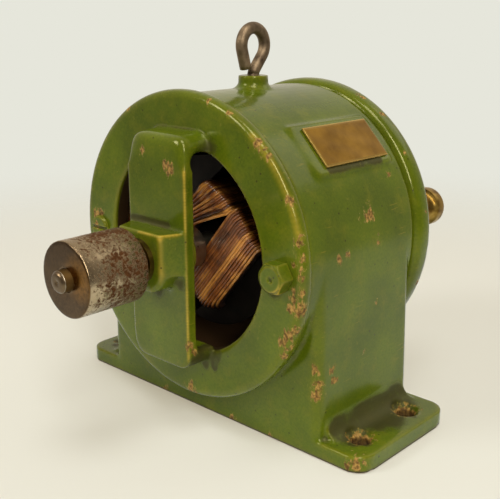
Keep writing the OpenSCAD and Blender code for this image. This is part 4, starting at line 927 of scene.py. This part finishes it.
# Brass browned in clouds and rubbed brighter between them by fingers
cloud = add("TexNoise", {"Vector": place, "Scale": per(3), "Detail": 4.0})
tarnish = add("MapRange", {"Value": cloud, "From Min": 0.36, "From Max": 0.64})
tint = add("MixRGB", {"Fac": tarnish, "Color1": "#6a4e1e", "Color2": "#a98a45"})
rough = add("MapRange", {"Value": cloud, "To Min": 0.45, "To Max": 0.22})
plug(shader, {"Base Color": tint, "Roughness": rough})
finish_nodes(turned_brass, "brush_holder_top", "brush_holder_bottom", "holder_rivets", "carrier_screws",
             "terminal_stud_left", "terminal_stud_right", "terminal_locknuts", "clamp_washer_left",
             "clamp_washer_right")
for side in ("left", "right"):
    low, high, middle = box_mm("thumb_nut_" + side)
    seat, end, rim_r, neck_r, bore_r = low.y, high.y, (high.x - low.x) / 2, 3.9, 2.42
    rim_from, edge_from, bore_end = end - 6, end - 3, end - 3.1
    flare = [i / 12 for i in range(1, 13)]
    profile = [(0.001, bore_end), (bore_r, bore_end), (bore_r, seat), (neck_r - 0.3, seat)]
    profile += [(neck_r, seat + 0.3)]
    profile += [(neck_r + (rim_r - neck_r) * (1 - sqrt(1 - k * k)) * 0.96,
                 seat + 0.3 + (rim_from - seat - 0.3) * k) for k in flare]
    profile += [(rim_r, rim_from + 0.5), (rim_r, edge_from)]
    profile += [(rim_r * cos(radians(a)), edge_from + 3 * sin(radians(a))) for a in range(10, 90, 10)]
    profile += [(0.001, end)]
    knob = turned(profile, (middle.x, middle.z), 96)
    new_piece("thumb_knob_" + side, knob, turned_brass, side + "_thumb_nut", "brass", "thumb_nut_" + side)

# Stage: a floor of pale paper that fades out into an equally pale surround, four soft lamps,
# and a camera that stands where the photograph was taken from.
pale, paper, shade, lamp_tint = "#e6e6db", "#e8eeee", "#d8c49e", "#fffbf2"
floor_half, floor_z = 1.6, -0.0002
fade_from, fade_to, warm_fill = 0.14, 0.45, 0.35
floor_mesh = bpy.data.meshes.new("floor")
corners = [(x * floor_half, y * floor_half, floor_z) for x, y in ((-1, -1), (1, -1), (1, 1), (-1, 1))]
floor_mesh.from_pydata(corners, [], [(0, 1, 2, 3)])
floor = bpy.data.objects.new("floor", floor_mesh)
scene.collection.objects.link(floor)
floor_paper, add, shader, place = new_material(
    "pale_paper", Base_Color=paper, Roughness=0.9, Specular_IOR_Level=0.1)
away = add("VectorMath", {0: place}, operation="LENGTH")
fade = add("MapRange", {"Value": away.outputs["Value"], "From Min": fade_from, "From Max": fade_to},
           interpolation_type="SMOOTHSTEP")
clear = add("BsdfTransparent")
# To the camera, shadows on the paper are filled with a warm tone
seen = add("LightPath").outputs["Is Camera Ray"]
filled = add("Math", {0: seen, 1: warm_fill}, operation="MULTIPLY")
glow = add("Emission", {"Color": shade, "Strength": 1.0})
paper_mix = add("MixShader", {0: filled, 1: shader, 2: glow})
mixed = add("MixShader", {0: fade, 1: paper_mix, 2: clear})
plug(floor_paper.node_tree.nodes["Material Output"], {"Surface": mixed})
floor_mesh.materials.append(floor_paper)

world = bpy.data.worlds.new("studio")
world.use_nodes = True
scene.world = world
world.node_tree.nodes.clear()
add = partial(add_node, world.node_tree)
ray = add("LightPath")
# The room is bright behind the object and dim behind the camera
toward = add("TexCoord").outputs["Generated"]
behind = add("VectorMath", {0: toward, 1: (-0.68, 0.73, 0.1)}, operation="DOT_PRODUCT")
glossy = add("MapRange", {"Value": ray.outputs["Is Glossy Ray"], "To Min": 0.45, "To Max": 0.75})
room = add("MapRange", {
    "Value": behind.outputs["Value"], "From Min": -0.4, "From Max": 0.8, "To Min": 0.16, "To Max": glossy})
ambient = add("Background", {"Color": "#fff4e2", "Strength": room})
surround = add("Background", {"Color": pale, "Strength": 1.0})
lit = add("MixShader", {0: ray.outputs["Is Camera Ray"], 1: ambient, 2: surround})
add("OutputWorld", {"Surface": lit})

lamps = (
    ("key", (1.02, -0.68, 0.98), 0.3, 1.0, 15.5),
    ("left", (-0.5, -1.0, 0.8), 0.4, 0.4, 6.0),
    ("overhead", (0.3, -0.25, 1.3), 0.5, 0.5, 6.0),
    ("back", (0.38, 0.95, 0.95), 0.7, 0.7, 1.3),
)
aim = Vector((0, 0, axis_z * MM))
for name, spot, width, height, power in lamps:
    data = bpy.data.lights.new(name, "AREA")
    data.shape = "RECTANGLE"
    data.size, data.size_y = width, height
    data.energy = power
    data.color = linear(lamp_tint)[:3]
    lamp = bpy.data.objects.new(name, data)
    lamp.location = spot
    lamp.rotation_mode = "QUATERNION"
    lamp.rotation_quaternion = (aim - Vector(spot)).to_track_quat("-Z", "Y")
    scene.collection.objects.link(lamp)

view_turn, view_tilt, view_roll = radians(43.04), radians(16.04), radians(-0.13)
back = Vector((sin(view_turn) * cos(view_tilt), -cos(view_turn) * cos(view_tilt), sin(view_tilt)))
right = Vector((cos(view_turn), sin(view_turn), 0))
up = back.cross(right)
view_right = right * cos(view_roll) + up * sin(view_roll)
view_up = up * cos(view_roll) - right * sin(view_roll)
camera_data = bpy.data.cameras.new("camera")
camera_data.sensor_width = 36
camera_data.lens = 59.73
camera_data.clip_start, camera_data.clip_end = 0.01, 10
camera = bpy.data.objects.new("camera", camera_data)
view_from = Vector((180.0, -194.4, 125.8)) * MM
camera.matrix_world = Matrix((*zip(view_right, view_up, back, view_from), (0, 0, 0, 1)))
scene.collection.objects.link(camera)
scene.camera = camera
scene.view_settings.view_transform = "Standard"
